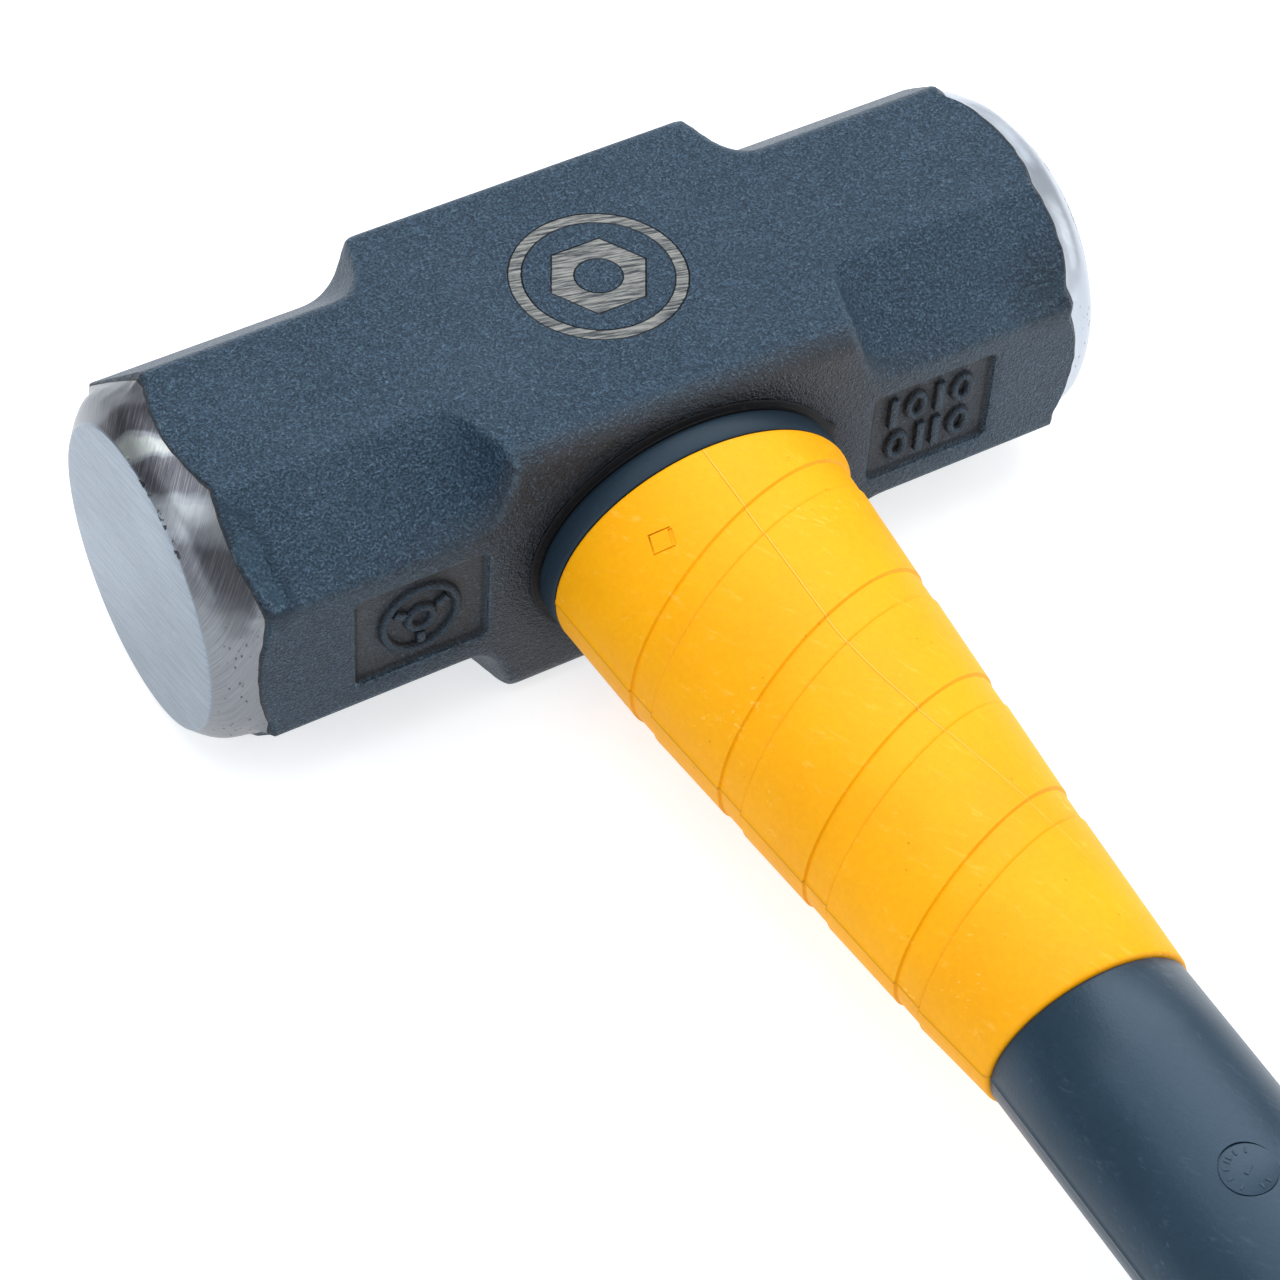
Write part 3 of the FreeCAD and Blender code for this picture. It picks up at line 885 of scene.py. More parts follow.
def take_result(subject: bpy.types.Object, *tools: bpy.types.Object) -> bmesh.types.BMesh:
    """Read an object's mesh with its modifiers applied, then remove it and its tools.

    Args:
        subject: The object with the modifiers.
        tools: Objects that only its modifiers used.

    Returns:
        The modified mesh.
    """
    graph = bpy.context.evaluated_depsgraph_get()
    bm = bmesh.new()
    bm.from_object(subject, graph)
    for item in (subject, *tools):
        mesh = item.data
        bpy.data.objects.remove(item)
        bpy.data.meshes.remove(mesh)
    return bm


def combine(
    first: bmesh.types.BMesh, second: bmesh.types.BMesh, operation: str
) -> bmesh.types.BMesh:
    """Join, cut or intersect two closed meshes.

    Args:
        first: The mesh to change; it is freed.
        second: The tool; it is freed.
        operation: UNION, DIFFERENCE or INTERSECT.

    Returns:
        The result. A face keeps the material index that it had.
    """
    subject = scratch_object(first, "subject")
    tool = scratch_object(second, "tool")
    for item in (subject, tool):
        for number in range(3):
            item.data.materials.append(slot_marker(number))
    cut = subject.modifiers.new("cut", "BOOLEAN")
    cut.operation = operation
    cut.solver = "EXACT"
    cut.material_mode = "TRANSFER"
    cut.object = tool
    return take_result(subject, tool)


def slot_marker(number: int) -> bpy.types.Material:
    """Return the plain material that marks a slot while meshes are combined."""
    name = f"slot_marker_{number}"
    return bpy.data.materials.get(name) or bpy.data.materials.new(name)


def new_verts(geometry: dict) -> list[bmesh.types.BMVert]:
    """Return the vertices among what a bmesh operator made."""
    return [item for item in geometry["geom"] if isinstance(item, bmesh.types.BMVert)]


def new_edges(geometry: dict) -> list[bmesh.types.BMEdge]:
    """Return the edges among what a bmesh operator made."""
    return [item for item in geometry["geom"] if isinstance(item, bmesh.types.BMEdge)]


@dataclass(frozen=True)
class Station:
    """One oval section of the handle: where it is, its half sizes and its slant."""

    along: float
    half_long: float
    half_short: float
    slant: float = 0.0


@dataclass
class OvalSkin:
    """A skin drawn ring by ring along the handle's axis from an oval circle."""

    height: float
    segments: int = 192
    bm: bmesh.types.BMesh = field(default_factory=bmesh.new)
    rings: list[tuple[Station, list[bmesh.types.BMVert]]] = field(default_factory=list)
    edges: list[bmesh.types.BMEdge] = field(default_factory=list)

    def begin(self, station: Station) -> None:
        """Make the first ring.

        Args:
            station: Where it is and its half sizes.
        """
        made = bmesh.ops.create_circle(self.bm, segments=self.segments, radius=1.0)
        self.edges = list({edge for vert in made["verts"] for edge in vert.link_edges})
        stand = Matrix.Rotation(math.radians(90), 4, "X")
        bmesh.ops.transform(self.bm, matrix=self._matrix(station) @ stand, verts=made["verts"])
        self.rings.append((station, made["verts"]))

    def _matrix(self, station: Station) -> Matrix:
        """Return what takes a unit circle in the XZ plane to this station.

        Args:
            station: Where the ring goes.

        Returns:
            The matrix.
        """
        size = Matrix.Diagonal((station.half_long, 1.0, station.half_short, 1.0))
        size[1][0] = station.slant * station.half_long
        return Matrix.Translation((0.0, -station.along, self.height)) @ size

    def reach(self, station: Station) -> None:
        """Extrude the last ring to a new station.

        Args:
            station: Where the new ring goes.
        """
        last = self.rings[-1][0]
        made = bmesh.ops.extrude_edge_only(self.bm, edges=self.edges)
        verts = new_verts(made)
        self.edges = new_edges(made)
        move = self._matrix(station) @ self._matrix(last).inverted()
        bmesh.ops.transform(self.bm, matrix=move, verts=verts)
        self.rings.append((station, verts))

    def run(self, stations: Iterable[Station]) -> None:
        """Begin if needed, then go through the stations in order.

        Args:
            stations: The rings to make.
        """
        for station in stations:
            if self.rings:
                self.reach(station)
            else:
                self.begin(station)

    def close_tube(self) -> None:
        """Join the last ring to the first, which makes a closed tube."""
        first = set(self.rings[0][1])
        start = [edge for edge in self.bm.edges if edge.verts[0] in first and edge.verts[1] in first]
        bmesh.ops.bridge_loops(self.bm, edges=self.edges + start)
        self._face_outwards()

    def close_ends(self) -> None:
        """Fill the first and the last ring."""
        first = set(self.rings[0][1])
        start = [edge for edge in self.bm.edges if edge.verts[0] in first and edge.verts[1] in first]
        for loop in (start, self.edges):
            cap = bmesh.ops.edgeloop_fill(self.bm, edges=loop)
            bmesh.ops.poke(self.bm, faces=cap["faces"])
        self._face_outwards()

    def _face_outwards(self) -> None:
        """Point every face outwards."""
        bmesh.ops.recalc_face_normals(self.bm, faces=self.bm.faces)

    def raise_seam(self, start: float, end: float, height: float) -> None:
        """Raise the mould's parting line on both flanks between two stations.

        Args:
            start: Distance along the handle where it begins.
            end: Distance where it ends.
            height: How far it stands out.
        """
        for station, verts in self.rings:
            if start <= station.along <= end:
                for vert in verts:
                    if abs(vert.co.z - self.height) < 0.02 * station.half_short:
                        vert.co.x += math.copysign(height, vert.co.x)


def lerp(first: float, second: float, share: float) -> float:
    """Go from first to second by a share."""
    return first + (second - first) * share


# ---------------------------------------------------------------- the head


@dataclass
class Head:
    """The forging: octagonal ends, a square middle, panels on the handle side, both faces ground."""

    voxel: float = 0.8
    keep_half: float = 74.0
    overrun: float = 4.0
    mouth_place: float = 68.0
    mouth_radius: float = 46.0
    smoothing: int = 5
    eye_facet: tuple[float, float] = (18.4, 15.0)
    crown_facet: tuple[float, float] = (14.4, 13.8)
    border_corner: float = 81.2
    crown_border: float = 84.3
    border_flat: float = 84.0
    face_radii: tuple[float, float] = (28.2, 25.4)
    face_round: float = 0.5
    face_crown: float = 0.18
    bevel_bow: float = 0.24
    paint_step: float = 0.12
    hairline: float = 0.032
    ring_steps: int = 12
    segments: int = 320
    panel_size: tuple[float, float] = (26.4, 21.4)
    panel_depth: float = 1.5
    mark_height: float = 1.2
    panel_round: float = 1.9
    stroke_width: float = 1.9
    oval_width: float = 5.0
    mark_gap: float = 1.5
    row_gap: float = 8.6
    corner_rise: float = 3.4
    raggedness: float = 0.5
    waviness: float = 0.16
    enamel: TexturedEnamel = TexturedEnamel()
    steel: GroundSteel = GroundSteel()
    scorch: ScorchedEdge = ScorchedEdge()

    def __post_init__(self) -> None:
        """Take the head's own size from the frame."""
        low, high = node_box("forged_head")
        self.half_length = high.x
        self.half_depth = high.y
        self.half_width = (high.z - low.z) / 2
        self.height = (high.z + low.z) / 2

    def build(self) -> bpy.types.Object:
        """Forge, grind and enamel the head.

        Returns:
            The head's object.
        """
        gasket = node_box("eye_seal_ring")[1]
        forging = combine(self.forge(), self.panel_cutters(), "DIFFERENCE")
        forging = combine(forging, self.panel_marks(), "UNION")
        for face in forging.faces:
            face.material_index = 0
        ground = combine(forging, self.grinding_envelope(), "INTERSECT")
        head = new_piece(ground, "hammer_head", [
            self.enamel.material(
                self.border, -self.half_depth, self.height, (gasket.x, gasket.z - self.height)
            ),
            self.steel_material(), self.scorch.material(),
        ])
        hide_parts("forged_head")
        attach(head, "root")
        return head

    def steel_material(self) -> bpy.types.Material:
        """Build the steel about this head's axis."""
        return self.steel.material(self.height, self.face_radii)

    def border(self, graph: Graph) -> Signal:
        """Return the distance from the ground border towards the middle of the head.

        Args:
            graph: The enamel's node tree.

        Returns:
            Millimetres of enamel between here and the border.
        """
        x, y, z = graph.axes()
        up = z - self.height
        reach = (y * y + up * up) ** 0.5
        crown = (y / reach).rise(0.5, 0.85)
        slope = (self.border_flat - self.border_corner) / self.corner_rise
        slope = slope - crown * ((self.crown_border - self.border_corner) / self.corner_rise)
        limit = self.border_flat - (reach - self.half_width) * slope
        ragged = (graph.grain(1.2, 3, 0.6) - 0.5) * 0.9
        return limit - abs(x) + ragged

    def forge(self) -> bmesh.types.BMesh:
        """Soften the plain shape into a forging that runs past both faces.

        Returns:
            A closed mesh in millimetres.
        """
        bm = bmesh.new()
        bm.from_mesh(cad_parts["forged_head"].data)
        bmesh.ops.scale(bm, vec=Vector((1 / METRE, 1 / METRE, 1 / METRE)), verts=bm.verts)
        bmesh.ops.remove_doubles(bm, verts=bm.verts, dist=0.002)
        for sign in (-1, 1):
            self.lengthen(bm, sign)
        bmesh.ops.recalc_face_normals(bm, faces=bm.faces)
        blank = scratch_object(bm, "blank")
        skin = blank.modifiers.new("skin", "REMESH")
        skin.mode = "VOXEL"
        skin.voxel_size = self.voxel
        bm = take_result(blank)
        self.soften(bm)
        return bm

    def lengthen(self, bm: bmesh.types.BMesh, sign: int) -> None:
        """Cut the plain bevel off one end and draw the octagon out past the face.

        Args:
            bm: The plain head in millimetres.
            sign: -1 for the left end and 1 for the right.
        """
        geometry = [*bm.verts, *bm.edges, *bm.faces]
        plane = Vector((sign * self.keep_half, 0.0, 0.0))
        normal = Vector((sign, 0.0, 0.0))
        cut = bmesh.ops.bisect_plane(
            bm, geom=geometry, dist=0.001, plane_co=plane, plane_no=normal, clear_outer=True
        )
        rim = [item for item in cut["geom_cut"] if isinstance(item, bmesh.types.BMEdge)]
        made = bmesh.ops.extrude_edge_only(bm, edges=rim)
        run = self.half_length + self.overrun - self.keep_half
        bmesh.ops.translate(bm, vec=normal * run, verts=new_verts(made))
        bmesh.ops.edgeloop_fill(bm, edges=new_edges(made))

    def panel_cutters(self) -> bmesh.types.BMesh:
        """Make the cutters for the two sunk panels on the handle side.

        Returns:
            Two rounded blocks in millimetres.
        """
        bm = bmesh.new()
        wide, tall = self.panel_size
        for sign in (-1, 1):
            verts = bmesh.ops.create_cube(bm, size=1.0)["verts"]
            edges = list({edge for vert in verts for edge in vert.link_edges})
            deep = 6.0
            bmesh.ops.scale(bm, vec=Vector((wide, deep, tall)), verts=verts)
            middle = -self.half_depth - deep / 2 + self.panel_depth
            centre = Vector((sign * PANEL_CENTRE, middle, self.height))
            bmesh.ops.translate(bm, vec=centre, verts=verts)
            bmesh.ops.bevel(
                bm, geom=edges, offset=self.panel_round, affect="EDGES", segments=4, profile=0.5,
                material=-1,
            )
        return bm

    def panel_marks(self) -> bmesh.types.BMesh:
        """Make the raised marks: strokes and ovals on the right, a spoked ring on the left.

        Returns:
            The marks as separate closed shapes in millimetres.
        """
        bm = bmesh.new()
        floor = -self.half_depth + self.panel_depth
        for row, marks in enumerate(("|0|0", "0||0")):
            wide = 2 * self.stroke_width + 2 * self.oval_width + 3 * self.mark_gap
            left = PANEL_CENTRE - wide / 2
            for mark in marks:
                width = self.stroke_width if mark == "|" else self.oval_width
                up = self.row_gap / 2 - self.row_gap * row
                centre = Vector((left + width / 2, floor, self.height + up))
                if mark == "|":
                    self.raised_bar(bm, centre, Vector((width, 3.0, 7.0)))
                else:
                    self.raised_ring(bm, centre, Vector((1.65, 0.0, 2.6)))
                left += width + self.mark_gap
        centre = Vector((-PANEL_CENTRE, floor, self.height))
        self.raised_ring(bm, centre, Vector((7.2, 0.0, 7.2)))
        self.raised_ring(bm, centre, Vector((2.4, 0.0, 2.4)))
        for turn in (30, 150, 270):
            spoke = Vector((math.cos(math.radians(turn)), 0.0, math.sin(math.radians(turn)))) * 4.75
            self.raised_bar(bm, centre + spoke, Vector((2.6, 3.0, 1.7)), turn)
        bmesh.ops.recalc_face_normals(bm, faces=bm.faces)
        return bm

    def raised_bar(
        self, bm: bmesh.types.BMesh, centre: Vector, size: Vector, turn: float = 0.0
    ) -> None:
        """Add one rounded bar that stands proud of the panel's floor.

        Args:
            bm: The marks' mesh.
            centre: The bar's middle.
            size: Its size.
            turn: Degrees that it is turned in the panel's plane.
        """
        verts = bmesh.ops.create_cube(bm, size=1.0)["verts"]
        edges = list({edge for vert in verts for edge in vert.link_edges})
        bmesh.ops.scale(bm, vec=size, verts=verts)
        made = bmesh.ops.bevel(
            bm, geom=edges, offset=0.45, affect="EDGES", segments=2, profile=0.5, material=-1
        )
        verts = list({vert for face in made["faces"] for vert in face.verts})
        spin = Matrix.Rotation(math.radians(-turn), 4, "Y")
        place = Matrix.Translation(centre + Vector((0.0, size.y / 2 - self.mark_height, 0.0)))
        bmesh.ops.transform(bm, matrix=place @ spin, verts=verts)

    def raised_ring(self, bm: bmesh.types.BMesh, centre: Vector, size: Vector) -> None:
        """Add one round or oval ring, half sunk in the panel's floor.

        Args:
            bm: The marks' mesh.
            centre: The ring's middle.
            size: Half sizes of the tube's line along X and Z.
        """
        tall = self.mark_height
        section = bmesh.ops.create_circle(bm, segments=12, radius=tall)["verts"]
        bmesh.ops.scale(bm, vec=Vector((0.95 / tall, 1.0, 1.0)), verts=section)
        bmesh.ops.translate(bm, vec=Vector((size.x, 0.0, 0.0)), verts=section)
        edges = list({edge for vert in section for edge in vert.link_edges})
        bmesh.ops.spin(
            bm, geom=[*section, *edges], cent=Vector(), axis=Vector((0.0, 1.0, 0.0)), dvec=Vector(),
            angle=math.tau, steps=48, use_merge=True,
        )
        verts = list(self.island(section))
        for vert in verts:
            vert.co.z += Vector((vert.co.x, vert.co.z)).normalized().y * (size.z - size.x)
        bmesh.ops.translate(bm, vec=centre, verts=verts)

    @staticmethod
    def island(start: Sequence[bmesh.types.BMVert]) -> set[bmesh.types.BMVert]:
        """Return every vertex joined to these.

        Args:
            start: The vertices to begin from.

        Returns:
            The island.
        """
        found, edge = set(start), list(start)
        while edge:
            vert = edge.pop()
            for link in vert.link_edges:
                other = link.other_vert(vert)
                if other not in found:
                    found.add(other)
                    edge.append(other)
        return found

    def soften(self, bm: bmesh.types.BMesh) -> None:
        """Round every edge as a forging's.

        Args:
            bm: The skin.
        """
        for _ in range(self.smoothing):
            bmesh.ops.smooth_vert(
                bm, verts=bm.verts, factor=0.5, use_axis_x=True, use_axis_y=True, use_axis_z=True
            )

    def octagon_reach(self, angle: float) -> float:
        """Return the octagon's reach from the axis at an angle in the YZ plane.

        Args:
            angle: 0 points along +Y.

        Returns:
            The distance to the nearest facet.
        """
        depth, width = self.half_depth, self.half_width
        facet_depth, facet_width = self.crown_facet if math.cos(angle) > 0 else self.eye_facet
        slope = Vector((facet_width, facet_depth)).normalized()
        facet = Vector((depth, width - facet_width)).dot(slope)
        across, up = abs(math.cos(angle)), abs(math.sin(angle))
        reaches = (
            depth / max(across, 1e-6),
            width / max(up, 1e-6),
            facet / (across * slope.x + up * slope.y),
        )
        return min(reaches)

    def grinding_envelope(self) -> bmesh.types.BMesh:
        """Model what the grinder leaves: an octagon that melts into a round face at each end.

        Returns:
            A closed mesh in millimetres: steel in the second slot, the hairline in the third and
            the enamel's cut edge in the first.
        """
        bm = bmesh.new()
        mouths = [self.grind_end(bm, sign) for sign in (-1, 1)]
        bmesh.ops.bridge_loops(bm, edges=mouths[0] + mouths[1])
        bmesh.ops.recalc_face_normals(bm, faces=bm.faces)
        return bm

    def grind_end(self, bm: bmesh.types.BMesh, sign: int) -> list[bmesh.types.BMEdge]:
        """Extrude one end's rings from the wide mouth to the face and cap it.

        Args:
            bm: The envelope.
            sign: -1 for the left end and 1 for the right.

        Returns:
            The mouth's edges.
        """
        made = bmesh.ops.create_circle(bm, segments=self.segments, radius=self.mouth_radius)
        turn = Matrix.Rotation(math.radians(90), 4, "Y")
        lift = Matrix.Translation((sign * self.mouth_place, 0.0, self.height))
        bmesh.ops.transform(bm, matrix=lift @ turn, verts=made["verts"])
        mouth = list({edge for vert in made["verts"] for edge in vert.link_edges})
        edges = mouth
        for number, ring in enumerate(self.ring_shapes(self.face_radii[sign > 0])):
            grown = bmesh.ops.extrude_edge_only(bm, edges=edges)
            edges = new_edges(grown)
            for face in {face for edge in edges for face in edge.link_faces}:
                face.material_index = (0, 2, 1)[min(number, 2)]
            for vert in new_verts(grown):
                angle = math.atan2(vert.co.z - self.height, vert.co.y)
                place, reach = ring(angle)
                across, up = math.cos(angle), math.sin(angle)
                ragged = noise.noise(Vector((sign * 5.0, across * 11, up * 11)))
                fade = max(0.0, 1.0 - (place - self.border_corner) / 6.0)
                place += self.raggedness * ragged * fade
                wobble = noise.noise(Vector((place * sign, across * 3, up * 3)) * 0.35)
                reach += self.waviness * wobble
                vert.co = Vector((sign * place, reach * across, self.height + reach * up))
        cap = bmesh.ops.edgeloop_fill(bm, edges=edges)
        for face in bmesh.ops.poke(bm, faces=cap["faces"])["faces"]:
            face.material_index = 1
        return mouth

    def ring_shapes(self, face_radius: float) -> list[Callable[[float], tuple[float, float]]]:
        """List the rings from the border to the middle of the face.

        Args:
            face_radius: Radius of the flat face.

        Returns:
            Functions that give a ring's (place along the head, reach) at an angle.
        """
        edge = self.half_length - self.face_crown
        rings = []
        steps = (step / self.ring_steps for step in range(1, self.ring_steps + 1))
        for share in (0.0, self.hairline, *steps):
            rings.append(lambda angle, share=share: self.bevel_point(angle, share, face_radius))
        rings.append(lambda angle: (edge - 0.12, face_radius - 0.12))
        for part in (0.97, 0.85, 0.65, 0.45, 0.2, 0.07):
            reach = part * face_radius
            fall = self.face_crown * part**2
            rings.append(lambda angle, reach=reach, fall=fall: (self.half_length - fall, reach))
        return rings

    def bevel_point(self, angle: float, share: float, face_radius: float) -> tuple[float, float]:
        """Give a point of the bevel.

        Args:
            angle: Direction in the YZ plane.
            share: 0 at the enamel's border and 1 at the face's edge.
            face_radius: Radius of the flat face.

        Returns:
            Its place along the head and its reach from the axis.
        """
        octagon = self.octagon_reach(angle)
        crown = min(1.0, max(0.0, (math.cos(angle) - 0.5) / 0.35))
        spread = math.radians(1.0 + crown)
        near = sum(self.octagon_reach(angle + turn * spread) for turn in (-9, -5, 5, 9)) / 4
        octagon = lerp(octagon, near, min(1.0, 3.0 * share))
        scallop = min(1.0, (octagon - self.half_width) / self.corner_rise)
        border = lerp(self.border_flat, lerp(self.border_corner, self.crown_border, crown), scallop)
        edge = self.half_length - self.face_crown - self.face_round
        place = lerp(border, edge, share)
        start = octagon - self.paint_step - 0.8 * (1.0 - 0.8 * crown) * scallop**2
        reach = lerp(start, face_radius + 0.2, share)
        bow = self.bevel_bow * (octagon - face_radius)
        return place, reach + bow * math.sin(math.pi * share**1.6)


# ---------------------------------------------------------------- the handle


@dataclass
class GuardSleeve:
    """The yellow rubber guard: a tapered oval tube with four slanting bands sunk into it."""

    wall: float = 3.0
    band_places: tuple[float, ...] = (51.5, 77.5, 101.5, 126.5)
    band_width: float = 6.4
    band_depth: float = 0.38
    slant: float = 0.36
    step: float = 0.16
    lip: float = 0.7
    end_long: float = 19.4
    end_short: float = 16.4
    stamp_along: float = 49.5
    stamp_angle: float = 124.5
    stamp_size: float = 3.8
    stamp_line: float = 0.3
    stamp_thick_line: float = 0.8
    stamp_turn: float = -18.0
    # The finish paints shade along the parting line.
    finish: Moulded = Moulded(
        "guard_rubber", *YELLOW, Mould.RUBBER, 0.55, knit_line=True, seam_shade=0.4,
    )

    def __post_init__(self) -> None:
        """Take the sleeve's own size from the frame."""
        low, high = node_box("overstrike_sleeve")
        self.start = -high.y
        self.end = -low.y
        self.top_long = high.x
        self.top_short = (high.z - low.z) / 2
        self.height = (high.z + low.z) / 2

    def section(self, along: float, sunk: float = 0.0, slant: float = 0.0) -> Station:
        """Return the sleeve's outer section at a place, sunk by a depth.

        Args:
            along: Distance along the handle.
            sunk: How deep it is sunk.
            slant: How it leans.

        Returns:
            The section.
        """
        share = (along - self.start) / (self.end - self.start)
        return Station(
            along, lerp(self.top_long, self.end_long, share) - sunk,
            lerp(self.top_short, self.end_short, share) - sunk, slant,
        )

    def outer_stations(self) -> list[Station]:
        """List the outer sections: lips at both ends and a step at each band's edges.

        Returns:
            The sections from the head's end on.
        """
        stations = []
        for share in (0.0, 0.3, 0.65, 1.0):
            turn = math.radians(90) * share
            stations.append(self.section(
                self.start + self.lip * (1 - math.cos(turn)), self.lip * (1 - math.sin(turn))
            ))
        marks = [(self.start + 1.2, 0.0, 0.0)]
        for place in self.band_places:
            far = place + self.band_width
            for along, depth in (
                (place - self.step, 0.0), (place + self.step, 1.25), (place + 0.6, 1.0),
                (far - 0.5, 0.8), (far - self.step, 1.2), (far + self.step, 0.0),
            ):
                marks.append((along, depth * self.band_depth, self.slant))
        marks.append((self.end - 1.2, 0.0, 0.0))
        for (along, sunk, slant), (next_along, next_sunk, next_slant) in zip(marks, marks[1:]):
            stations.append(self.section(along, sunk, slant))
            if next_along - along > 1.0:
                for part in (0.04, 0.25, 0.5, 0.75, 0.96):
                    stations.append(self.section(
                        lerp(along, next_along, part), lerp(sunk, next_sunk, part),
                        lerp(slant, next_slant, part),
                    ))
        for share in (1.0, 0.65, 0.3, 0.0):
            turn = math.radians(90) * share
            stations.append(self.section(
                self.end - self.lip * (1 - math.cos(turn)), self.lip * (1 - math.sin(turn))
            ))
        return stations

    def build(self) -> bpy.types.Object:
        """Mould the sleeve.

        Returns:
            The sleeve's object.
        """
        skin = OvalSkin(self.height)
        skin.run(self.outer_stations())
        skin.raise_seam(self.start + 0.6, self.end - 0.6, 0.32)
        for share in (1.0, 0.75, 0.5, 0.25, 0.0):
            skin.reach(self.section(lerp(self.start, self.end, share), self.wall))
        skin.close_tube()
        bm = combine(skin.bm, self.stamp_cuts(), "DIFFERENCE")
        for face in bm.faces:
            face.material_index = 0
        sleeve = new_piece(bm, "guard_sleeve", [self.finish.material(self.height)])
        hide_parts("overstrike_sleeve")
        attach(sleeve, "root")
        return sleeve

    def stamp_cuts(self) -> bmesh.types.BMesh:
        """Make the cutters for the small square outline on the sleeve's upper left.

        Returns:
            Four thin bars that sink into the skin.
        """
        bm = bmesh.new()
        here = self.section(self.stamp_along)
        angle = math.radians(self.stamp_angle)
        x, z = here.half_long * math.cos(angle), here.half_short * math.sin(angle)
        lean = math.atan2(x / here.half_long**2, z / here.half_short**2)
        frame_here = Matrix.Translation((x, -self.stamp_along, self.height + z))
        frame_here = frame_here @ Matrix.Rotation(lean, 4, "Y")
        frame_here = frame_here @ Matrix.Rotation(math.radians(self.stamp_turn), 4, "Z")
        half, line = self.stamp_size / 2, self.stamp_line
        across, between = 2 * half + line, 2 * half - 0.5
        for place, size in (
            ((0.0, half), (across, line)), ((0.0, -half), (across, line)),
            ((half, 0.0), (self.stamp_thick_line, between)), ((-half, 0.0), (line, between)),
        ):
            verts = bmesh.ops.create_cube(bm, size=1.0)["verts"]
            matrix = frame_here @ Matrix.Translation((*place, 0.91))
            matrix = matrix @ Matrix.Diagonal((*size, 2.0, 1.0))
            bmesh.ops.transform(bm, matrix=matrix, verts=verts)
        return bm


@dataclass
class Jacket:
    """The moulded tube on the core: shoulder under the head, sleeve seat, shaft and grip neck."""

    shaft_long: float = 18.8
    shaft_short: float = 15.8
    neck_long: float = 16.0
    neck_short: float = 13.0
    seat_end_long: float = 16.4
    seat_end_short: float = 13.4
    sleeve_wall: float = 3.0
    dial_along: float = 197.5
    dial_angle: float = 94.0
    dial_radius: float = 4.8
    dial_turn: float = -58.0
    dial_mark_reach: float = 3.4
    dial_pair_half: float = 0.36
    # The finish paints shade on the shoulder under the head and along the parting line.
    finish: Moulded = Moulded(
        "jacket_plastic", (0.009, 0.023, 0.038), (0.015, 0.033, 0.054), (0.09, 0.12, 0.16),
        Mould.SATIN, 0.38, seam_shade=0.4, marked=0.6, shade_to=38.2,
    )

    def __post_init__(self) -> None:
        """Take the jacket's own size and its neighbours' from the frame."""
        low, high = node_box("handle_jacket")
        self.start = -high.y
        self.butt = -low.y
        self.shoulder_long = high.x
        self.shoulder_short = (high.z - low.z) / 2
        self.height = (high.z + low.z) / 2
        sleeve_low, sleeve_high = node_box("overstrike_sleeve")
        self.sleeve_start, self.sleeve_end = -sleeve_high.y, -sleeve_low.y
        self.seat_long = sleeve_high.x - self.sleeve_wall
        self.seat_short = (sleeve_high.z - sleeve_low.z) / 2 - self.sleeve_wall
        self.grip_start = -node_box("hand_grip")[1].y

    def stations(self) -> list[Station]:
        """List the jacket's outer sections from the shoulder to the butt.

        Returns:
            The sections.
        """
        long, short = self.shoulder_long, self.shoulder_short
        stations = [
            Station(self.start, long - 1.0, short - 1.0),
            Station(self.start + 0.15, long - 0.4, short - 0.4),
            Station(self.start + 0.5, long - 0.08, short - 0.08),
            Station(self.start + 1.2, long, short),
            Station(self.sleeve_start - 0.6, long - 0.05, short - 0.05),
            Station(self.sleeve_start - 0.15, long - 0.3, short - 0.3),
            Station(self.sleeve_start, long - 0.9, short - 0.9),
            Station(self.sleeve_start + 0.02, self.seat_long, self.seat_short),
            Station(self.sleeve_end - 0.02, self.seat_end_long, self.seat_end_short),
            Station(self.sleeve_end, self.shaft_long - 0.7, self.shaft_short - 0.7),
            Station(self.sleeve_end + 0.12, self.shaft_long - 0.25, self.shaft_short - 0.25),
            Station(self.sleeve_end + 0.5, self.shaft_long, self.shaft_short),
        ]
        steps = 30
        for step in range(1, steps):
            along = lerp(self.sleeve_end + 0.5, self.grip_start - 0.5, step / steps)
            stations.append(Station(along, self.shaft_long, self.shaft_short))
        stations += [
            Station(self.grip_start - 0.5, self.shaft_long, self.shaft_short),
            Station(self.grip_start - 0.02, self.shaft_long - 0.4, self.shaft_short - 0.4),
            Station(self.grip_start, self.neck_long, self.neck_short),
            Station(lerp(self.grip_start, self.butt, 0.5), self.neck_long, self.neck_short),
            Station(self.butt, self.neck_long, self.neck_short),
        ]
        return stations

    def build(self) -> bpy.types.Object:
        """Mould the jacket.

        Returns:
            The jacket's object.
        """
        skin = OvalSkin(self.height)
        skin.run(self.stations())
        skin.raise_seam(self.sleeve_end + 0.4, self.grip_start - 0.4, 0.2)
        for share in (1.0, 0.66, 0.33, 0.0):
            skin.reach(Station(lerp(self.start, self.butt, share), ROD_LONG, ROD_SHORT))
        skin.close_tube()
        bm = combine(skin.bm, self.dial_pocket(), "DIFFERENCE")
        bm = combine(bm, self.dial_plate(), "UNION")
        for face in bm.faces:
            face.material_index = 0
        jacket = new_piece(bm, "handle_jacket_moulding", [self.finish.material(self.height)])
        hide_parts("handle_jacket")
        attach(jacket, "root")
        return jacket

    def dial_frame(self) -> Matrix:
        """Return what takes the dial from the origin to its place on the shaft's top.

        Returns:
            The matrix; the dial lies flat against the oval there.
        """
        angle = math.radians(self.dial_angle)
        x = self.shaft_long * math.cos(angle)
        z = self.shaft_short * math.sin(angle)
        lean = math.atan2(x / self.shaft_long**2, z / self.shaft_short**2)
        place = Matrix.Translation((x, -self.dial_along, self.height + z))
        return place @ Matrix.Rotation(lean, 4, "Y")

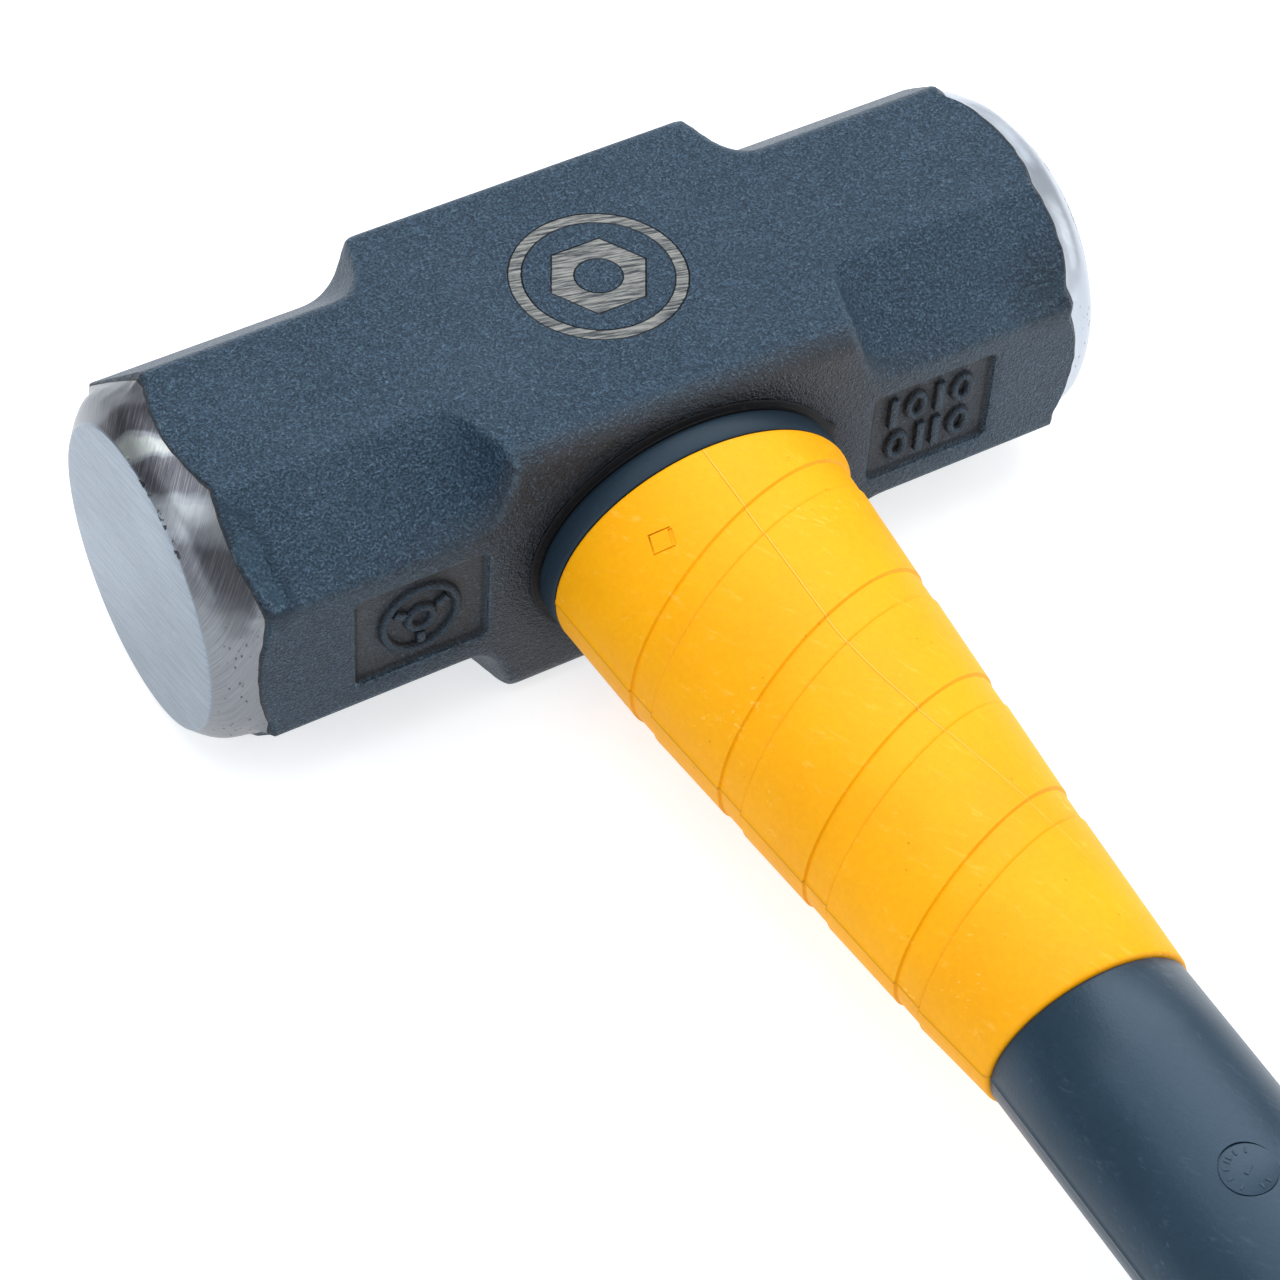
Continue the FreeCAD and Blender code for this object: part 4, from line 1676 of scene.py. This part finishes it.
    @staticmethod
    def disc(bm: bmesh.types.BMesh, radius: float, low: float, high: float) -> None:
        """Add one flat disc about the origin.

        Args:
            bm: The mesh to add to.
            radius: The disc's radius.
            low: Its underside.
            high: Its top.
        """
        made = bmesh.ops.create_cone(
            bm, cap_ends=True, segments=72, radius1=radius, radius2=radius, depth=high - low
        )
        bmesh.ops.translate(bm, vec=Vector((0.0, 0.0, (high + low) / 2)), verts=made["verts"])

    def dial_pocket(self) -> bmesh.types.BMesh:
        """Make the cutter for the thin gap round the dial's disc.

        Returns:
            A closed disc in millimetres.
        """
        bm = bmesh.new()
        self.disc(bm, self.dial_radius, -0.48, 3.0)
        bmesh.ops.transform(bm, matrix=self.dial_frame(), verts=bm.verts)
        return bm

    def dial_plate(self) -> bmesh.types.BMesh:
        """Make the dial's flat disc with its raised marks: a short bar amid twelve.

        Returns:
            Closed shapes in millimetres.
        """
        bm = bmesh.new()
        self.disc(bm, self.dial_radius - 0.22, -1.4, -0.2)
        rim = [edge for edge in bm.edges if edge.calc_face_angle(0.0) > 1.0]
        bmesh.ops.bevel(bm, geom=rim, offset=0.1, affect="EDGES", segments=2, profile=0.5, material=-1)
        self.dial_bar(bm, 0.0, Vector(), Vector((0.75, 1.9, 0.3)))
        for mark in range(12):
            turn = math.tau * mark / 12
            reach, pair = self.dial_mark_reach, self.dial_pair_half
            if mark % 3:
                self.dial_bar(bm, turn, Vector((0.0, reach, 0.0)), Vector((0.34, 0.95, 0.24)))
            else:
                for side in (-pair, pair):
                    self.dial_bar(bm, turn, Vector((side, reach, 0.0)), Vector((0.30, 0.95, 0.24)))
        aim = Matrix.Rotation(math.radians(self.dial_turn), 4, "Z")
        bmesh.ops.transform(bm, matrix=self.dial_frame() @ aim, verts=bm.verts)
        bmesh.ops.recalc_face_normals(bm, faces=bm.faces)
        return bm

    @staticmethod
    def dial_bar(bm: bmesh.types.BMesh, turn: float, centre: Vector, size: Vector) -> None:
        """Add one small raised bar, turned about the dial's middle.

        Args:
            bm: The dial.
            turn: Angle about the middle, in radians.
            centre: The bar's middle before the turn.
            size: Its size.
        """
        verts = bmesh.ops.create_cube(bm, size=1.0)["verts"]
        lift = Matrix.Translation(centre + Vector((0.0, 0.0, -0.2)))
        matrix = Matrix.Rotation(turn, 4, "Z") @ lift @ Matrix.Diagonal((*size, 1.0))
        bmesh.ops.transform(bm, matrix=matrix, verts=verts)


@dataclass
class SealRing:
    """The dark gasket between the head and the shoulder, squeezed a little proud."""

    finish: Moulded = Moulded(
        "seal_rubber", (0.005, 0.005, 0.006), (0.010, 0.010, 0.011), (0.06, 0.055, 0.05),
        Mould.RUBBER, 0.55,
    )

    def build(self) -> bpy.types.Object:
        """Mould the gasket.

        Returns:
            The gasket's object.
        """
        low, high = node_box("eye_seal_ring")
        start, end = -high.y, -low.y
        long, short = high.x, (high.z - low.z) / 2
        skin = OvalSkin((high.z + low.z) / 2)
        sections = (
            (0.0, 0.9), (0.04, 0.45), (0.12, 0.12), (0.22, 0.0), (0.32, 0.02), (0.40, 0.2),
            (0.44, 0.6), (0.48, 1.15), (0.56, 1.35), (0.62, 1.25), (0.96, 1.22), (1.0, 1.5),
        )
        for share, sunk in sections:
            skin.run([Station(lerp(start, end, share), long - sunk, short - sunk)])
        self.pull_tab(skin)
        for share in (1.0, 0.5, 0.0):
            skin.reach(Station(lerp(start, end, share), ROD_LONG, ROD_SHORT))
        skin.close_tube()
        ring = new_piece(skin.bm, "eye_gasket", [self.finish.material()])
        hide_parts("eye_seal_ring")
        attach(ring, "root")
        return ring

    @staticmethod
    def pull_tab(skin: OvalSkin) -> None:
        """Pull a small moulding tab out of the gasket's head-side bead, on the right.

        Args:
            skin: The gasket's skin.
        """
        for _, verts in skin.rings[2:6]:
            for vert in verts:
                turn = math.degrees(math.atan2(vert.co.z - skin.height, vert.co.x))
                share = max(0.0, 1.0 - abs(turn - 17.0) / 4.0)
                vert.co.x += 1.5 * share


@dataclass
class Grip:
    """The rubber grip with ring grooves and a flared pommel, and the plug in its end."""

    neck_long: float = 16.0
    neck_short: float = 13.0
    groove_pitch: float = 9.0
    groove_depth: float = 1.1
    pommel: float = 34.0
    lip: float = 1.4
    end_round: float = 3.0
    start_half: tuple[float, float] = (20.3, 17.3)
    flare_half: tuple[float, float] = (19.0, 16.2)
    finish: Moulded = Moulded(
        "grip_rubber", (0.018, 0.026, 0.034), (0.028, 0.040, 0.052), (0.12, 0.14, 0.16),
        Mould.RUBBER, 0.60,
    )
    plug_finish: Moulded = Moulded("plug_plastic", *YELLOW, Mould.SATIN, 0.42)

    def __post_init__(self) -> None:
        """Take the grip's own size from the frame."""
        low, high = node_box("hand_grip")
        self.start, self.end = -high.y, -low.y
        self.pommel_long, self.pommel_short = high.x, (high.z - low.z) / 2
        self.height = (high.z + low.z) / 2

    def section(self, along: float, sunk: float = 0.0) -> Station:
        """Return the grip's smooth outer section at a place, sunk by a depth.

        Args:
            along: Distance along the handle.
            sunk: How deep it is sunk.

        Returns:
            The section.
        """
        flare = self.end - self.pommel
        share = min(1.0, (along - self.start) / (flare - self.start))
        long = lerp(self.start_half[0], self.flare_half[0], share)
        short = lerp(self.start_half[1], self.flare_half[1], share)
        swell = max(0.0, min(1.0, (along - flare) / (self.pommel * 2 / 3)))
        swell = swell * swell * (3 - 2 * swell)
        return Station(
            along, lerp(long, self.pommel_long, swell) - sunk,
            lerp(short, self.pommel_short, swell) - sunk,
        )

    def stations(self) -> list[Station]:
        """List the grip's outer sections: lip, grooves, flare and rounded end.

        Returns:
            The sections.
        """
        stations = [self.section(self.start, self.lip)]
        for share in (0.35, 0.7, 1.0):
            turn = math.radians(90) * share
            stations.append(self.section(
                self.start + self.lip * (1 - math.cos(turn)), self.lip * (1 - math.sin(turn))
            ))
        along = self.start + 12.0
        while along < self.end - self.pommel - 6.0:
            for offset, sunk in (
                (-0.25, 0.0), (0.1, 0.12), (0.5, 0.75), (1.0, 1.0), (1.6, 1.0),
                (2.1, 0.75), (2.5, 0.12), (2.85, 0.0), (5.8, 0.0),
            ):
                stations.append(self.section(along + offset, sunk * self.groove_depth))
            along += self.groove_pitch
        for step in range(13):
            stations.append(self.section(lerp(self.end - self.pommel, self.end - 3.2, step / 12)))
        for share in (0.85, 0.6, 0.35, 0.15, 0.0):
            turn = math.radians(90) * share
            stations.append(self.section(
                self.end - self.end_round * (1 - math.cos(turn)), self.end_round * (1 - math.sin(turn))
            ))
        return stations

    def build(self) -> list[bpy.types.Object]:
        """Mould the grip and its plug.

        Returns:
            Both objects.
        """
        skin = OvalSkin(self.height, segments=160)
        skin.run(self.stations())
        for share in (1.0, 0.5, 0.0):
            skin.reach(Station(lerp(self.start, self.end, share), self.neck_long, self.neck_short))
        skin.close_tube()
        grip = new_piece(skin.bm, "rubber_grip", [self.finish.material()])
        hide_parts("hand_grip")
        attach(grip, "root")
        return [grip, self.build_plug()]

    def build_plug(self) -> bpy.types.Object:
        """Mould the plug: spigot, flange with a rounded rim and a dished end.

        Returns:
            The plug's object.
        """
        low, high = node_box("butt_plug")
        inner, outer = -high.y, -low.y
        long, short = high.x, (high.z - low.z) / 2
        flange = self.end
        skin = OvalSkin(self.height, segments=128)
        skin.run([
            Station(inner, ROD_LONG - 0.8, ROD_SHORT - 0.8), Station(inner + 0.8, ROD_LONG, ROD_SHORT),
            Station(flange, ROD_LONG, ROD_SHORT),
            Station(flange, long - 0.3, short - 0.3), Station(flange + 0.3, long, short),
            Station(outer - 1.2, long, short), Station(outer - 0.35, long - 0.35, short - 0.35),
            Station(outer, long - 1.3, short - 1.3), Station(outer, long - 3.4, short - 3.4),
            Station(outer - 0.3, long - 3.8, short - 3.8),
            Station(outer - 0.9, long - 4.4, short - 4.4),
            Station(outer - 0.9, long * 0.4, short * 0.4),
        ])
        skin.close_ends()
        plug = new_piece(skin.bm, "butt_cap", [self.plug_finish.material()])
        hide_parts("butt_plug")
        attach(plug, "root")
        return plug


@dataclass
class EyeFilling:
    """What is inside the eye: cast resin with a shallow dished top, and the drawn rod."""

    resin: CastResin = CastResin()
    glass: DrawnFibreglass = DrawnFibreglass()
    flare: float = 2.5

    def build(self) -> list[bpy.types.Object]:
        """Cast the resin and finish the rod.

        Returns:
            Both objects.
        """
        low, high = node_box("eye_potting")
        _, core_high = node_box("fibreglass_core")
        height = (high.z + low.z) / 2
        long, short = high.x - self.flare, (high.z - low.z) / 2 - self.flare
        crown, gap = high.y, high.y - core_high.y
        skin = OvalSkin(height, segments=128)
        skin.run([
            Station(-low.y, ROD_LONG - 1.0, ROD_SHORT - 1.0), Station(-low.y, long, short),
            Station(0.0, long, short),
            Station(-crown + 1.6, long + self.flare * 0.95, short + self.flare * 0.95),
            Station(-crown + 0.9, long + self.flare - 0.15, short + self.flare - 0.15),
            Station(-crown + 1.25, long + 1.2, short + 1.2),
            Station(-crown + 1.5, long - 1.5, short - 1.5), Station(-crown + 1.62, long - 6, short - 6),
            Station(-crown + 1.66, 4.0, 3.0),
        ])
        skin.close_ends()
        casting = self.with_bore(skin.bm, height, -crown + gap, -low.y)
        potting = new_piece(casting, "eye_resin", [self.resin.material()])
        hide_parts("eye_potting")
        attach(potting, "root")
        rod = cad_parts["fibreglass_core"]
        rod.data.materials.clear()
        rod.data.materials.append(self.glass.material())
        return [potting, rod]

    @staticmethod
    def with_bore(
        bm: bmesh.types.BMesh, height: float, floor: float, mouth: float
    ) -> bmesh.types.BMesh:
        """Cut the rod's bore from the handle side up to its floor.

        Args:
            bm: The closed casting.
            height: Height of the handle's axis.
            floor: Where the bore ends, as a distance along the handle.
            mouth: Where it opens.

        Returns:
            The bored casting.
        """
        bore = OvalSkin(height, segments=128)
        bore.run([Station(floor, ROD_LONG, ROD_SHORT), Station(mouth + 2.0, ROD_LONG, ROD_SHORT)])
        bore.close_ends()
        return combine(bm, bore.bm, "DIFFERENCE")


# ---------------------------------------------------------------- the studio


@dataclass
class Studio:
    """White paper, large soft lamps and the camera."""

    paper: StudioFloor = StudioFloor()
    lens: float = 111.47
    camera_place: tuple[float, float, float] = (-0.2672, -0.4254, 0.5394)
    aim: tuple[float, float, float] = (-0.0214, -0.0526, 0.0303)
    roll: float = 4.15

    def build(self) -> None:
        """Lay the paper, hang the lamps and set the camera."""
        self.lay_paper()
        self.hang_lamps()
        self.set_camera()
        scene = bpy.context.scene
        scene.view_settings.view_transform = "Standard"

    def lay_paper(self) -> None:
        """Lay a wide sheet of white paper under the lower cheek."""
        bm = bmesh.new()
        bmesh.ops.create_grid(bm, x_segments=8, y_segments=8, size=6000.0)
        paper = new_piece(bm, "paper", [self.paper.material()])

    def hang_lamps(self) -> None:
        """Hang the soft boxes and fill the room with white light."""
        world = bpy.data.worlds.new("white_room")
        world.use_nodes = True
        back = world.node_tree.nodes["Background"]
        back.inputs["Color"].default_value = (0.90, 0.95, 1.0, 1.0)
        back.inputs["Strength"].default_value = 0.45
        bpy.context.scene.world = world
        self.lamp("key", Vector((0.85, 0.85, 1.35)), 1.5, 30.0, (0.93, 0.97, 1.0))
        self.lamp("overhead", Vector((-0.3, 0.1, 1.9)), 1.6, 22.0, (0.92, 0.97, 1.0))
        self.lamp("right", Vector((1.5, -1.0, 1.1)), 1.2, 20.0, (1.0, 0.99, 0.97))
        self.lamp("left", Vector((-1.6, -0.5, 1.0)), 1.2, 13.0, (0.90, 0.95, 1.0))

    @staticmethod
    def lamp(name: str, place: Vector, size: float, power: float, colour: Colour) -> None:
        """Hang one square soft box that faces the head.

        Args:
            name: Its name.
            place: Where it hangs, in metres.
            size: Side of the box in metres.
            power: Watts.
            colour: Its colour.
        """
        data = bpy.data.lights.new(name, "AREA")
        data.shape = "SQUARE"
        data.size = size
        data.energy = power
        data.color = colour
        box = bpy.data.objects.new(name, data)
        box.location = place
        box.rotation_mode = "QUATERNION"
        box.rotation_quaternion = (Vector((0.0, -0.05, 0.03)) - place).to_track_quat("-Z", "Y")
        bpy.context.scene.collection.objects.link(box)

    def set_camera(self) -> None:
        """Place the camera above the near cheek, a little to the left of the handle."""
        data = bpy.data.cameras.new("camera")
        data.sensor_width = 36.0
        data.lens = self.lens
        data.clip_start, data.clip_end = 0.05, 50.0
        camera = bpy.data.objects.new("camera", data)
        place = Vector(self.camera_place)
        look = (Vector(self.aim) - place).to_track_quat("-Z", "Y").to_matrix().to_4x4()
        roll = Matrix.Rotation(math.radians(self.roll), 4, "Z")
        camera.matrix_world = Matrix.Translation(place) @ look @ roll
        bpy.context.scene.collection.objects.link(camera)
        bpy.context.scene.camera = camera


def main() -> None:
    """Build the hammer and the studio."""
    logging.basicConfig(level=logging.INFO, format="%(message)s")
    Studio().build()
    pieces = [
        Head().build(), SealRing().build(), Jacket().build(), GuardSleeve().build(),
        *Grip().build(), *EyeFilling().build(),
    ]
    for piece in pieces:
        LOG.info("%s: %d faces", piece.name, len(piece.data.polygons))


if __name__ == "__main__":
    main()
